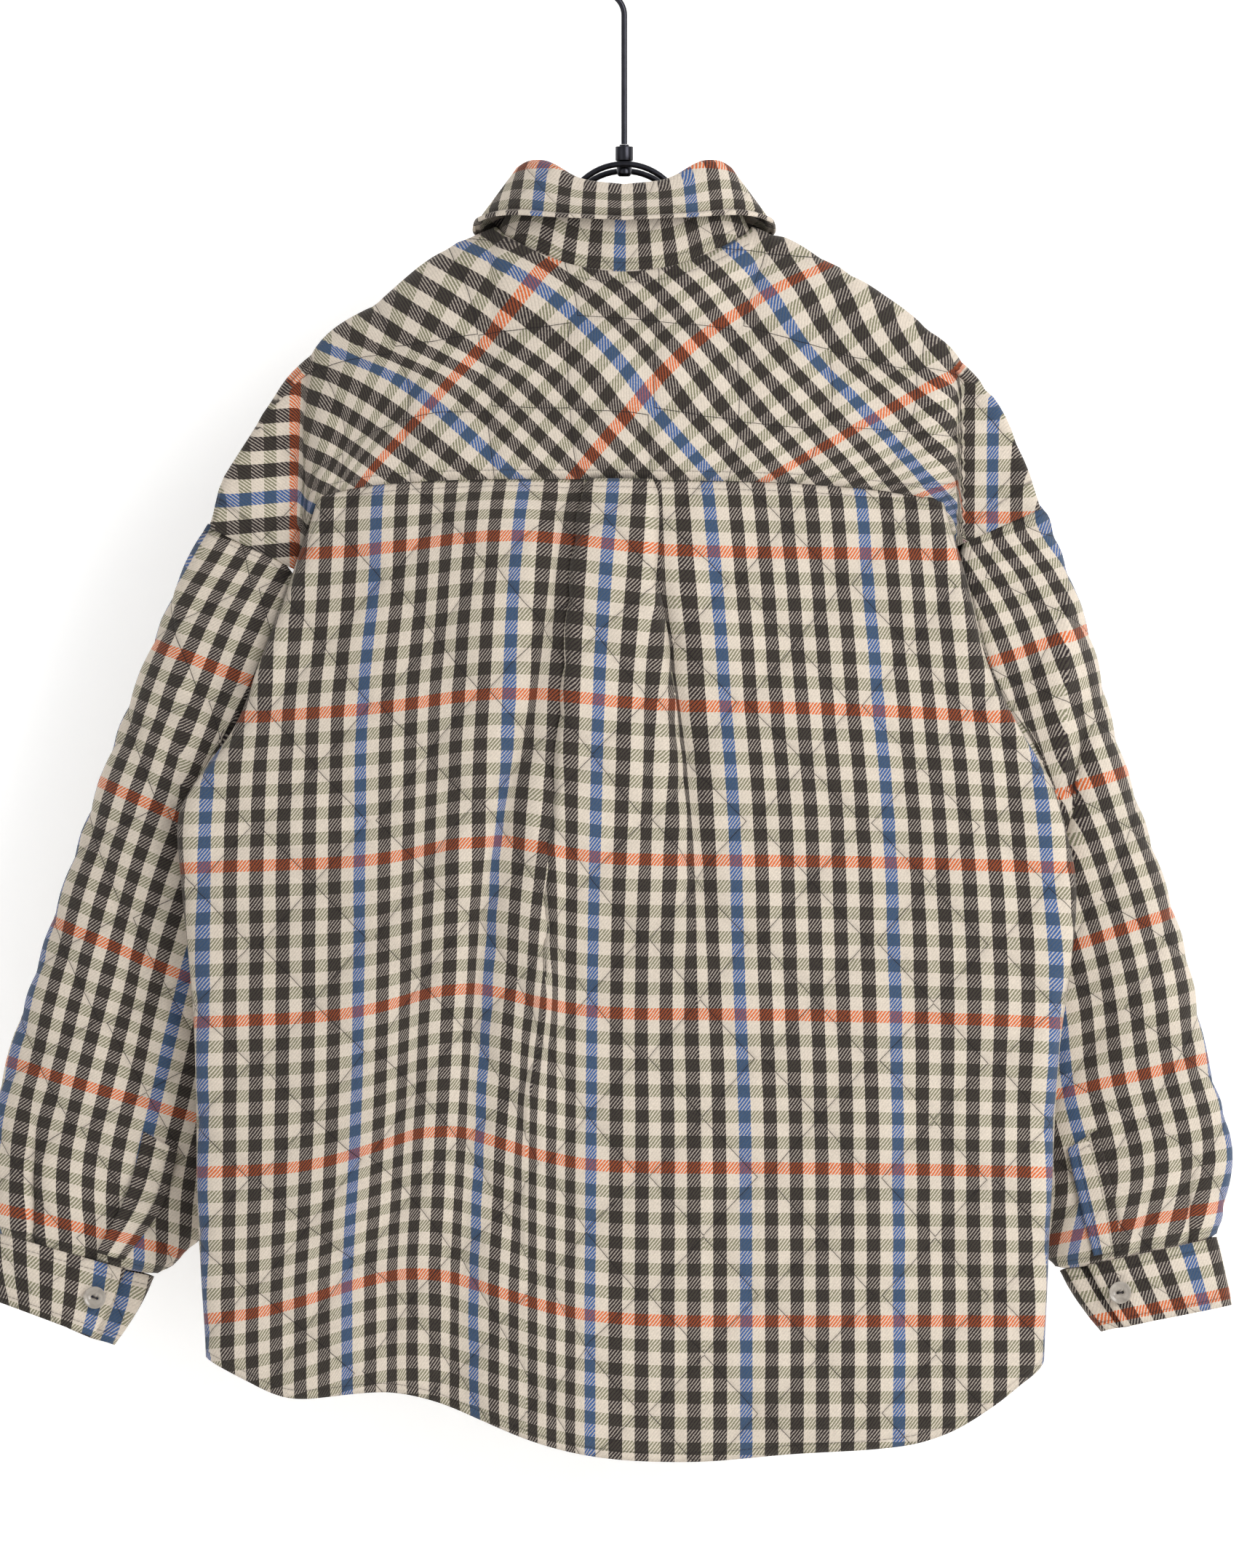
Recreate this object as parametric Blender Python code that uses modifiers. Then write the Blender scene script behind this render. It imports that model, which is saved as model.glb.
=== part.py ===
"""Quilted check shacket on a double-wire hanger, seen from its back.

+Z is up, the garment's back faces -Y and its front +Y. The origin is where the rail touches the
inside of the hook. Tables are in millimetres, with depths measured down from the origin.
"""
import math

import bmesh
import bpy
from mathutils import Vector

MM = 0.001

# Cloth wall
WALL = 3.0              # between stitched lines and the plain inside
EDGE_WALL = 2.0         # at seams, where the stitching presses the wadding flat
PUFF = 3.4              # how far a quilted diamond stands out at its middle
SEAM_GAP = 0.3          # between the pieces at a seam
QUILT = 78.0            # corner to corner of a diamond, across and down

# Body
NECK_HALF = 84.0        # half width of the neck seam
NECK_BACK, NECK_FRONT = 38.0, 42.0
NECK_DROP_BACK, NECK_DROP_FRONT = 28.0, 58.0
NECK_SIDE_DEPTH = 211.0
YOKE_INNER = 61.0       # distance from the centre of the yoke's end on the front neck edge
SIDE_ROUND = 15.0       # radius of the fold at the side
SIDE_REACH = 16.0       # how far the fold starts behind the hanger's plane
YOKE_LEVEL = 375.0      # where the shoulders' rounding ends
SHOULDER_END = 272.0    # sleeve seam at the top of the shoulder
UNDERARM = 604.0
FRONT_SEAM_DROP = 42.0  # yoke seam on the front, below the shoulder line
FRONT_OVERLAP = 17.0    # each front passes the centre by this
FRONT_CORNER = QUILT / 4 * 11  # where the yoke seam meets the armhole on the front
SIDE_TURN = 86.0        # degrees the back and fronts go round the side fold, below the armhole
TAPER_FROM = 240.0      # columns further out than this follow the side seam

# depth, left half width, right half width, bulge of the back, bulge of the front
BODY = [
    (385, 203, 211, 44, 42),
    (418, 212, 219, 45, 43),
    (455, 223, 228, 46, 44),
    (493, 238, 237, 46, 44),
    (537, 255, 258, 46, 44),
    (572, 280, 279, 45, 43),
    (596, 292, 287, 44, 42),
    (640, 290, 296, 43, 41),
    (690, 285, 293, 42, 40),
    (750, 281, 285, 40, 38),
    (860, 279, 279, 38, 36),
    (950, 274, 275, 36, 34),
    (1030, 272, 273, 35, 33),
]
# distance from the centre, depth of the left shoulder line, depth of the right one
SHOULDER = [
    (84, 211, 211), (108, 220, 219), (130, 235, 231), (150, 252, 243), (170, 266, 257),
    (190, 279, 271), (205, 294, 283), (220, 308, 298), (235, 330, 314), (250, 356, 337),
    (263, 379, 368), (272, 402, 390), (290, 440, 430),
]
# distance from the centre, depth of the yoke seam on the back (left, right)
YOKE_SEAM = [(0, 373, 373), (100, 373, 375), (160, 376, 379), (190, 381, 383), (215, 389, 387)]
# depth, distance of the front's armhole edge from the centre
FRONT_ARMHOLE = [(350, 214.4), (430, 214.5), (470, 221), (510, 233), (550, 250), (585, 272), (UNDERARM, 300)]
# Ribs of the yoke at the shoulder's end: place on the shoulder line, depth on the back, distance past
# the back's side edge there, share of the way down to the sleeve seam on the front
YOKE_ENDS = [(233, 388.5, -2.7, 0.0), (249, 408, 1, 0.33), (262, 421, 1.5, 0.66), (SHOULDER_END, 431, 2, 1.0)]
SLEEVE_SEAM_DEPTH = 430.0
END_GAP = 1.0
SLEEVE_HEAD_FRONT = (246, 22)   # x and y of the sleeve's head on the front, halfway up from the seam
# distance across the back from the centre (left is negative), depth of the back hem
BACK_HEM = [
    (-310, 951), (-278, 954), (-254, 969), (-225, 989), (-203, 997), (-148, 1007), (-113, 1013),
    (-56, 1019), (44, 1020), (108, 1015), (183, 1010), (215, 1001), (243, 984), (269, 963),
    (284, 953), (310, 951),
]
# distance from the centre, depth of the front hem
FRONT_HEM = [(0, 986), (110, 981), (170, 972), (215, 964), (250, 956), (284, 952), (310, 951)]

# How the back is drawn up where it hangs in folds left of the pleat: depth, middle, width, height
LIFT = [
    (375, -75, 78, 0), (420, -75, 78, 11), (520, -75, 70, 9), (622, -90, 54, 13),
    (723, -104, 56, 17), (825, -119, 62, 24), (926, -137, 80, 31), (1010, -142, 84, 32),
]
# Vertical folds of the back: place at the yoke, place at the hem, half width, depth at the yoke, at the hem
BACK_FOLDS = [
    (-118, -150, 17, 3, 5),
    (-76, -101, 20, 1, 12),
    (28, 60, 16, 7, 1),
    (190, 205, 30, 1, 4),
]
PLEAT_LEFT, PLEAT_RIGHT = -25.0, 20.0   # edges of the box pleat at the yoke seam
PLEAT_STEP = 6.0                        # how far it stands out of the back
PLEAT_END = 760.0                       # depth at which it has opened out
PLEAT_SPREAD = (-36.0, 14.0)            # how far its edges move as it opens
PLEAT_REACH = 112.0                     # cloth further out than this doesn't move with them
PLEAT_CREASE = 1.6                      # half width of the crease at each edge
BACK_CORNER = 388.0                     # depth at which the yoke seam meets the armhole on the back

# Sleeve rings: outer edge x, depth, inner edge x, depth, middle y, half thickness
SLEEVE_LEFT = [
    (293, 446, 299, 616, 27, 17),
    (311, 489, 287, 652, 37, 22),
    (333, 545, 273, 700, 43, 26),
    (357, 612, 265, 745, 48, 27),
    (380, 680, 263, 790, 50, 26),
    (403, 752, 268, 830, 50, 25),
    (418, 812, 278, 864, 50, 22),
    (419, 868, 311, 897, 50, 17),
]
SLEEVE_RIGHT = [
    (290, 436, 297, 616, 28, 16),
    (306, 482, 292, 652, 41, 20),
    (322, 545, 274, 700, 43, 26),
    (348, 622, 266, 745, 48, 27),
    (369, 690, 264, 790, 50, 26),
    (382, 755, 267, 830, 50, 25),
    (398, 815, 274, 864, 50, 22),
    (391, 872, 288, 893, 50, 17),
]
SLEEVE_COLUMNS = 20
# Cuff rings: outer edge x, depth, inner edge x, depth, middle y, half thickness
CUFF_LEFT = [(417, 871, 314, 900, 50, 16), (419, 893, 325, 922, 50, 16), (417, 916, 340, 945, 50, 16)]
CUFF_RIGHT = [(391, 875, 291, 896, 50, 16), (396, 897, 303, 916, 50, 16), (401, 920, 318, 936, 50, 16)]
CUFF_COLUMNS = 22

# Collar: angle round the neck from the back, then half widths and depths
COLLAR_TOP_HALF, COLLAR_TOP_BACK, COLLAR_TOP_FRONT = 70.0, 33.0, 36.0
LEAF_HALF, LEAF_BACK, LEAF_FRONT = 100.0, 52.0, 56.0
# angle, depth of the collar's top edge, depth of the leaf's lower edge
COLLAR_EDGE = [
    (0, 182, 205), (25, 178, 203), (50, 166, 201), (75, 168, 205), (90, 174, 210),
    (120, 186, 222), (145, 200, 252), (163, 212, 286), (174, 218, 262),
]

# The leaf's roll over the top of the stand: how far out from the top edge, how far down
COLLAR_ROLL = [(-7, 2), (0, 0), (4, 5)]

TRIM_WALL = 2.6         # collar and cuffs
PLACKET_WALL = 1.6
BAND_WALL = 1.8
PLACKET_OFF = WALL + PUFF + 1.4     # how far the placket's inner face stands off the sleeve's
BAND_OFF = WALL + PUFF + 0.8        # and the band's off the front's
BUTTON_RADIUS, BUTTON_THICK = 7.5, 3.2
FRONT_BUTTON_OFF = BAND_OFF + BAND_WALL + 1.2
CUFF_BUTTON_OFF = TRIM_WALL + 1.4
FRONT_BUTTONS = 6
FRONT_BUTTON_DEPTHS = (300, 930)    # of the top button and the bottom one

# Hanger
WIRE = 2.0              # radius of the wire
HOOK_RADIUS, HOOK_BEND = 28.0, 15.0
STEM_TOP, STEM_END = -66.4, -151.6
WIRE_APART = 7.6        # each wire's distance from the stem's plane, in the neck
WIRE_TIP_APART = 2.6    # and at the shoulders' ends
ARCH_RADIUS = 40.0
WIRE_TOPS = {"back": -165.0, "front": -169.0}
# One half of a wire past the arch: distance from the stem, height
WIRE_PATH = [
    (46, -211), (60, -217), (84, -222), (108, -233), (132, -249), (156, -266), (180, -284),
    (193, -296), (197, -306), (194, -315), (184, -320),
]

COLOURS = {
    "cloth": ((0.42, 0.36, 0.31, 1), 0.9, 0),
    "yoke": ((0.46, 0.39, 0.33, 1), 0.9, 0),
    "trim": ((0.36, 0.31, 0.27, 1), 0.9, 0),
    "button": ((0.55, 0.53, 0.50, 1), 0.35, 0),
    "wire": ((0.03, 0.03, 0.035, 1), 0.3, 0.9),
}


def clear_scene():
    for old in list(bpy.data.objects):
        bpy.data.objects.remove(old, do_unlink=True)


def read(table, at, column):
    """Value of a column where the first column is at, on a smooth curve through the rows."""
    if at <= table[0][0]:
        return table[0][column]
    if at >= table[-1][0]:
        return table[-1][column]
    k = next(i for i in range(len(table) - 1) if at <= table[i + 1][0])
    span = table[k + 1][0] - table[k][0]

    def slope(i):
        low, high = max(i - 1, 0), min(i + 1, len(table) - 1)
        return (table[high][column] - table[low][column]) / (table[high][0] - table[low][0])

    t = (at - table[k][0]) / span
    a, b = table[k][column], table[k + 1][column]
    m, n = slope(k) * span, slope(k + 1) * span
    return (2 * t**3 - 3 * t**2 + 1) * a + (t**3 - 2 * t**2 + t) * m + (3 * t**2 - 2 * t**3) * b + (t**3 - t**2) * n


def ease(t):
    t = min(max(t, 0.0), 1.0)
    return t * t * (3 - 2 * t)


def mix(a, b, t):
    return a + (b - a) * t


def side_column(x):
    return 1 if x < 0 else 2


def half_width(x, depth):
    return read(BODY, depth, side_column(x))


def top_of(x):
    """Depth and forward place of the line where the back ends: neck seam or shoulder line."""
    across = abs(x)
    if across < NECK_HALF:
        rise = 1 - (across / NECK_HALF) ** 2
        return NECK_SIDE_DEPTH + NECK_DROP_BACK * rise, -NECK_BACK * math.sqrt(rise)
    return read(SHOULDER, across, side_column(x)), 10 * ease((across - 190) / 80)


def front_top_of(x):
    """The same for the front: neck edge in the middle, shoulder line outside."""
    across = abs(x)
    if across < NECK_HALF:
        rise = 1 - (across / NECK_HALF) ** 2
        return NECK_SIDE_DEPTH + NECK_DROP_FRONT * rise, NECK_FRONT * math.sqrt(rise)
    return top_of(x)


def lift(x, depth):
    middle, width, height = (read(LIFT, depth, column) for column in (1, 2, 3))
    return height * math.exp(-(((x - middle) / width) ** 2))


def folds(x, depth):
    down = min(max((depth - YOKE_LEVEL) / (1010 - YOKE_LEVEL), 0.0), 1.0)
    total = 0.0
    for at_yoke, at_hem, half, deep_yoke, deep_hem in BACK_FOLDS:
        middle = mix(at_yoke, at_hem, down)
        total += mix(deep_yoke, deep_hem, down) * math.exp(-(((x - middle) / half) ** 2))
    return total * ease(down * 5)


def pleat_edges(depth):
    down = ease((depth - YOKE_LEVEL) / (PLEAT_END - YOKE_LEVEL))
    return PLEAT_LEFT + PLEAT_SPREAD[0] * down, PLEAT_RIGHT + PLEAT_SPREAD[1] * down


def opened(across, depth):
    """Where a place across the back lies once the pleat has opened above it."""
    left, right = pleat_edges(depth)
    if across <= PLEAT_LEFT:
        share = max(1 - (PLEAT_LEFT - across) / (PLEAT_REACH + PLEAT_LEFT), 0)
        return across + (left - PLEAT_LEFT) * share
    if across >= PLEAT_RIGHT:
        share = max(1 - (across - PLEAT_RIGHT) / (PLEAT_REACH - PLEAT_RIGHT), 0)
        return across + (right - PLEAT_RIGHT) * share
    return mix(left, right, (across - PLEAT_LEFT) / (PLEAT_RIGHT - PLEAT_LEFT))


def pleat(x, depth):
    left, right = pleat_edges(depth)
    down = (depth - YOKE_LEVEL) / (PLEAT_END - YOKE_LEVEL)
    if down <= 0:
        return PLEAT_STEP * 0.4 * ease((depth - YOKE_LEVEL + 20) / 20) if left < x < right else 0.0
    soft = mix(1.5, 30.0, ease(down))
    inside = ease((x - left) / soft + 0.5) * ease((right - x) / soft + 0.5)
    return PLEAT_STEP * (1 - ease(down)) * inside


def back_point(across, depth, lifted=True):
    """Inner face of the back, at a distance across the cloth from the centre line."""
    side = -1 if across < 0 else 1
    width, bulge = half_width(across, depth), read(BODY, depth, 3)
    flat = width - SIDE_ROUND
    if abs(across) <= flat:
        x = abs(across)
        y = SIDE_REACH + (bulge - SIDE_REACH) * math.cos(math.pi / 2 * x / flat)
    else:
        turn = (abs(across) - flat) / SIDE_ROUND
        x = flat + SIDE_ROUND * math.sin(turn)
        y = SIDE_REACH - SIDE_ROUND * (1 - math.cos(turn))
    y += pleat(across, depth) - folds(across, depth)
    up = lift(across, depth) if lifted else 0
    return Vector((side * x, -y, up - depth))


def back_turn(depth):
    """How far round the side fold the back reaches: less at the shoulder, a quarter turn below."""
    return math.radians(mix(55, SIDE_TURN, ease((depth - 390) / 70)))


def back_reach(side, depth):
    return half_width(side, depth) - SIDE_ROUND + SIDE_ROUND * back_turn(depth) - SEAM_GAP


def widest(side):
    return back_reach(side, UNDERARM + 60)


def tapered(side, distance, depth):
    """Where a column of the cloth lies at a depth, so that the outermost one follows the side seam."""
    if distance <= TAPER_FROM:
        return distance
    share = (back_reach(side, depth) - TAPER_FROM) / (widest(side) - TAPER_FROM)
    return TAPER_FROM + (distance - TAPER_FROM) * mix(1, share, ease((depth - 560) / (UNDERARM - 560)))


def edge_depth(side, distance, edge, low):
    """Depth at which an armhole edge, given as a function of depth, reaches a column."""
    high = UNDERARM
    for _ in range(30):
        middle = (low + high) / 2
        if edge(middle) < tapered(side, distance, middle):
            low = middle
        else:
            high = middle
    return high


def front_point(across, depth):
    """Inner face of the fronts, from the shoulder line down."""
    side = -1 if across < 0 else 1
    level = max(depth, YOKE_LEVEL)
    bulge = read(BODY, level, 4)
    opening = 1 - ease((level - 540) / 90)
    edge = 2 * SIDE_ROUND - SIDE_REACH + 10 * opening
    flat = mix(half_width(across, level) - SIDE_ROUND, 235, opening)
    if abs(across) <= flat:
        x = abs(across)
        y = edge + (bulge - edge) * math.cos(math.pi / 2 * x / flat)
    else:
        turn = (abs(across) - flat) / SIDE_ROUND
        x = flat + SIDE_ROUND * math.sin(turn)
        y = edge - SIDE_ROUND * (1 - math.cos(turn))
    if depth < YOKE_LEVEL:
        top, top_y = front_top_of(across)
        t = min(max((depth - top) / (YOKE_LEVEL - top), 0), 1)
        y = mix(top_y, y, math.sqrt(1 - (1 - t) ** 2))
    return Vector((side * x, y, -depth))


def yoke_point(x, depth):
    """Inner face of the yoke on the back, out to the sleeve seam."""
    seam_depth = read(YOKE_SEAM, abs(x), side_column(x))
    width = half_width(x, seam_depth)
    turn = SIDE_ROUND * math.sin(back_turn(385))
    if abs(x) <= width - SIDE_ROUND + turn:
        flat = width - SIDE_ROUND
        if abs(x) <= flat:
            base = back_point(x, seam_depth, False).y
        else:
            base = -(SIDE_REACH - SIDE_ROUND + math.sqrt(SIDE_ROUND**2 - (abs(x) - flat) ** 2))
    else:
        edge = width - SIDE_ROUND + turn
        base = mix(-9.0, 6.0, ease((abs(x) - edge) / 9))
    top, top_y = top_of(x)
    t = min(max((depth - top) / (seam_depth - top), 0), 1)
    return Vector((x, mix(top_y, base, math.sqrt(1 - (1 - t) ** 2)), -depth))


def add_material(obj, kind):
    colour, rough, metal = COLOURS[kind]
    mat = bpy.data.materials.new(obj.name + "_finish")
    mat.use_nodes = True
    shader = mat.node_tree.nodes["Principled BSDF"]
    shader.inputs["Base Color"].default_value = colour
    shader.inputs["Roughness"].default_value = rough
    shader.inputs["Metallic"].default_value = metal
    mat.diffuse_color = colour
    obj.data.materials.append(mat)


def add_object(name, data, kind):
    obj = bpy.data.objects.new(name, data)
    parts.objects.link(obj)
    add_material(obj, kind)
    return obj


def cloth(name, strips, kind="cloth", flip=False, wall=WALL):
    """A cloth wall from strips, each a pair of neighbouring columns of (along, point, puff).

    The points lie on the plain inner face. Solidify raises the outer face by the wall, which
    grows by the puff in the middle of a quilted diamond.
    """
    bm = bmesh.new()
    weights = bm.verts.layers.deform.verify()
    made = {}
    full = wall + PUFF

    def vertex(entry):
        _, point, puff = entry
        key = tuple(round(c, 3) for c in point)
        if key not in made:
            made[key] = bm.verts.new(point * MM)
            height = EDGE_WALL if puff < 0 else wall + PUFF * puff
            made[key][weights][0] = min(height, full) / full
        return made[key]

    for first, second in strips:
        i = j = 0
        while i < len(first) - 1 or j < len(second) - 1:
            step_first = j == len(second) - 1 or (
                i < len(first) - 1 and first[i + 1][0] <= second[j + 1][0] + 1e-6
            )
            if step_first:
                corners = (first[i], first[i + 1], second[j])
                i += 1
            else:
                corners = (first[i], second[j + 1], second[j])
                j += 1
            found = [vertex(c) for c in corners]
            if len(set(found)) == 3:
                bm.faces.new(reversed(found) if flip else found)
    mesh = bpy.data.meshes.new(name)
    bm.to_mesh(mesh)
    bm.free()
    obj = add_object(name, mesh, kind)
    obj.vertex_groups.new(name="wall")
    solid = obj.modifiers.new("wall", "SOLIDIFY")
    solid.thickness = full * MM
    solid.offset = 1
    solid.vertex_group = "wall"
    solid.use_rim = True
    return obj


def quilted_column(across, start, end, place, step, shift):
    """Points down one column of the diamonds, with a high point at the middle of each one."""
    column = [(start, place(across, start), -1)]
    index = math.ceil((start + step * 0.3) / step)
    offset = step / 2 if shift else 0
    along = index * step - offset
    while along < start + step * 0.3:
        along += step
    while along < end - step * 0.3:
        high = 0
        if not shift and (round(across / step) + round(along / step)) % 2:
            high = 1
        column.append((along, place(across, along), high))
        along += step
    column.append((end, place(across, end), -1))
    return column


def spaced(low, high, step, extra=()):
    """Places between two ends on the quilting's half steps, and any extra ones."""
    inner = [k * step for k in range(math.ceil(low / step), math.floor(high / step) + 1)]
    return sorted({low, high, *extra, *[c for c in inner if low + step * 0.3 < c < high - step * 0.3]})


def on_quilt(across, half):
    """Whether a column carries the diamonds' middles, and whether it is a shifted one."""
    k = across / half
    return abs(k - round(k)) < 0.01, round(k) % 2 == 1


def pairs(columns):
    return list(zip(columns[:-1], columns[1:]))


def make_back():
    half = QUILT / 4
    edges = [edge + off for edge in (PLEAT_LEFT, PLEAT_RIGHT) for off in (-PLEAT_CREASE, PLEAT_CREASE)]
    columns = []
    for across in spaced(-widest(-1), widest(1), half, edges):
        side = -1 if across < 0 else 1
        if abs(across) <= back_reach(side, BACK_CORNER):
            start = read(YOKE_SEAM, abs(across), side_column(across)) + SEAM_GAP
        else:
            start = edge_depth(side, abs(across), lambda depth: back_reach(side, depth), BACK_CORNER)
        end = read(BACK_HEM, across, 1)
        regular, shifted = on_quilt(across, half)

        def place(a, depth):
            moved = opened(a, depth) if abs(a) < PLEAT_REACH else side * tapered(side, abs(a), depth)
            return back_point(moved, depth)

        if regular:
            columns.append(quilted_column(across, start, end, place, QUILT / 2, shifted))
        else:
            column = quilted_column(across, start, end, place, QUILT / 2, True)
            columns.append([(v, p, min(w, 0)) for v, p, w in column])
    cloth("back", pairs(columns))


def make_front(side, name):
    half = QUILT / 4
    inner = -FRONT_OVERLAP * side
    under = side < 0

    def place(across, depth):
        point = front_point(side * tapered(side, abs(across), depth), depth) if abs(across) > NECK_HALF else (
            front_point(across, depth)
        )
        if under:
            point.y -= 9 * ease((across + 45) / 25)
        return point

    columns = []
    for distance in spaced(inner * side, widest(side), half, (FRONT_CORNER,)):
        across = distance * side
        if distance < YOKE_INNER:
            top = front_top_of(across)[0] + SEAM_GAP
        elif distance <= FRONT_CORNER + 0.01:
            top = front_seam(across) + SEAM_GAP
        else:
            top = edge_depth(side, distance, lambda depth: read(FRONT_ARMHOLE, depth, 1), SLEEVE_SEAM_DEPTH)
        end = read(FRONT_HEM, distance, 1)
        regular, shifted = on_quilt(distance, half)
        column = quilted_column(across, top, end, place, QUILT / 2, shifted or not regular)
        if not regular:
            column = [(v, p, min(w, 0)) for v, p, w in column]
        columns.append((distance, column))
    strips = []
    for (first_at, first), (_, second) in pairs(columns):
        if abs(first_at - FRONT_CORNER) < 0.01:
            first = [entry for entry in first if entry[0] >= SLEEVE_SEAM_DEPTH]
        strips.append((first, second))
    cloth(name, strips, flip=side > 0)


def front_seam(across):
    """Depth of the yoke's seam on the fronts, which goes on inward to the neck at its own slope."""
    if abs(across) > NECK_HALF:
        return front_top_of(across)[0] + FRONT_SEAM_DROP
    return NECK_SIDE_DEPTH + FRONT_SEAM_DROP - (NECK_HALF - abs(across)) * 0.55


def yoke_rib(x_top, x_back, back_depth, front=None):
    """One rib of the yoke, from its seam on the back up over the shoulder to its seam on the front."""
    top, _ = top_of(x_top)
    rib = []
    steps = 5
    for k in range(steps + 1):
        angle = math.pi / 2 * (1 - k / steps)
        amount = 1 - math.cos(angle)
        depth = mix(top, back_depth, amount)
        x = mix(x_top, x_back, amount)
        rib.append((k, yoke_point(x, depth)))
    if front:
        x_front, front_depth = front
        reach = 3
        for k in range(1, reach + 1):
            amount = 1 - math.cos(math.pi / 2 * k / reach)
            rib.append((steps + k, front_point(mix(x_top, x_front, amount), mix(top, front_depth, amount))))
    return rib


def make_yoke():
    step = QUILT / 4
    # across the neck, the ribs end at the neck seam
    neck = [-NECK_HALF] + [k * step for k in range(-3, 4)] + [NECK_HALF]
    centre = []
    for number, x in enumerate(neck):
        seam = read(YOKE_SEAM, abs(x), side_column(x)) - SEAM_GAP
        centre.append(rib_with_puff(yoke_rib(x, x, seam), round(x / step)))
    strips = pairs(centre)
    for side in (-1, 1):
        arm = []
        outer = [(k * step * side, read(YOKE_SEAM, k * step, side_column(side)) - SEAM_GAP) for k in range(5, 11)]
        # the neck side: over the shoulder point, then forward along the neck edge
        seam = read(YOKE_SEAM, NECK_HALF, side_column(side)) - SEAM_GAP
        first = yoke_rib(side * NECK_HALF, side * NECK_HALF, seam)
        for k, angle in enumerate((105, 120, 133), start=1):
            x = NECK_HALF * math.sin(math.radians(angle))
            x = x if k < 3 else YOKE_INNER
            depth, y = front_top_of(side * x)
            first.append((5 + k, Vector((side * x, y, -depth))))
        arm.append(first)
        for x, depth in outer:
            arm.append(yoke_rib(x, x, depth, (x, front_seam(x) - SEAM_GAP)))
        corner = front_seam(side * FRONT_CORNER) - SEAM_GAP
        for x_top, depth, past, share in YOKE_ENDS:
            x_back = half_width(side, depth) + past
            front = (side * (FRONT_CORNER + END_GAP), mix(corner, SLEEVE_SEAM_DEPTH, share))
            arm.append(yoke_rib(side * x_top, side * x_back, depth, front))
        arm = [rib_with_puff(rib, number + 4, number == len(arm) - 1) for number, rib in enumerate(arm)]
        if side < 0:
            arm.reverse()
        strips += pairs(arm)
    cloth("yoke", strips, "yoke", flip=True)


def rib_with_puff(rib, number, last=False):
    """Squares of three ribs by two steps, high between their stitched sides."""
    made = []
    for place, point in rib:
        end = place == 0 or place == rib[-1][0] or last
        high = 0.8 if number % 3 and place % 2 else 0
        made.append((place, point, -1 if end else high))
    return made


def ring_point(row, angle, side):
    """A point of a flat oval ring; angle 0 is the outer edge, and the back half comes first."""
    outer = Vector((row[0], 0, -row[1]))
    inner = Vector((row[2], 0, -row[3]))
    across = (1 + math.copysign(abs(math.cos(angle)) ** 0.8, math.cos(angle))) / 2
    point = inner.lerp(outer, across)
    point.y = row[4] - row[5] * math.copysign(abs(math.sin(angle)) ** 0.8, math.sin(angle))
    point.x *= side
    return point


def armhole_loop(side):
    """The sleeve's top edge: from the shoulder's end down the back edge to the underarm, up the front."""
    top_depth, _ = top_of(side * SHOULDER_END)
    back = [Vector((side * (SHOULDER_END + 1), 10, -top_depth - 1))]
    last = half_width(side, 431) + 3
    back.append(Vector((side * (mix(SHOULDER_END, last, 0.5) + 1), 7, -mix(top_depth, 431, 0.5) - 4)))
    back.append(Vector((side * last, 6, -433)))
    for depth in (462, 500, 540, 575):
        back.append(Vector((side * (half_width(side, depth) + 2), 3, -depth)))
    under = Vector((side * (half_width(side, UNDERARM) + 7), 6, 4 - UNDERARM))
    front = []
    for depth in (585, 550, 510, 470, 432):
        point = front_point(side * read(FRONT_ARMHOLE, depth, 1), depth)
        front.append(Vector((point.x + side * 4.5, point.y + 4.5, -depth)))
    x, y = SLEEVE_HEAD_FRONT
    front.append(Vector((side * x, y, -mix(top_depth, 431, 0.5) - 3)))
    return resample(back + [under], SLEEVE_COLUMNS // 2) + resample([under] + front + [back[0]], SLEEVE_COLUMNS // 2)


def resample(points, count):
    """The first count of count + 1 evenly spaced points along a run."""
    lengths = [0.0]
    for a, b in pairs(points):
        lengths.append(lengths[-1] + (b - a).length)
    made = []
    for k in range(count):
        at = lengths[-1] * k / count
        i = max(j for j in range(len(points) - 1) if lengths[j] <= at + 1e-9)
        made.append(points[i].lerp(points[i + 1], (at - lengths[i]) / (lengths[i + 1] - lengths[i])))
    return made


def sleeve_point(rows, loop, side, column, along):
    """Inner face of a sleeve: along runs from 0 at the armhole to the number of rings."""
    angle = 2 * math.pi * column / SLEEVE_COLUMNS
    k = min(int(along), len(rows) - 1)
    t = along - k
    low = loop[column % SLEEVE_COLUMNS] if k == 0 else ring_point(rows[k - 1], angle, side)
    return low.lerp(ring_point(rows[k], angle, side), t)


def make_sleeve(side, name, rows):
    loop = armhole_loop(side)
    rings = len(rows)
    per_ring = 1.5
    columns = []
    for column in range(SLEEVE_COLUMNS + 1):
        shift = column % 2
        entries = [(0.0, sleeve_point(rows, loop, side, column % SLEEVE_COLUMNS, 0), -1)]
        count = int(rings * per_ring)
        for k in range(1, count):
            along = (k - (0.5 if shift else 0)) * rings / count
            high = 1 if not shift and (column // 2 + k) % 2 else 0
            place = sleeve_point(rows, loop, side, column % SLEEVE_COLUMNS, along)
            entries.append((along, place, high))
        last = rings - 1e-6
        entries.append((rings, sleeve_point(rows, loop, side, column % SLEEVE_COLUMNS, last), -1))
        columns.append(entries)
    cloth(name, pairs(columns), flip=side > 0)


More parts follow.
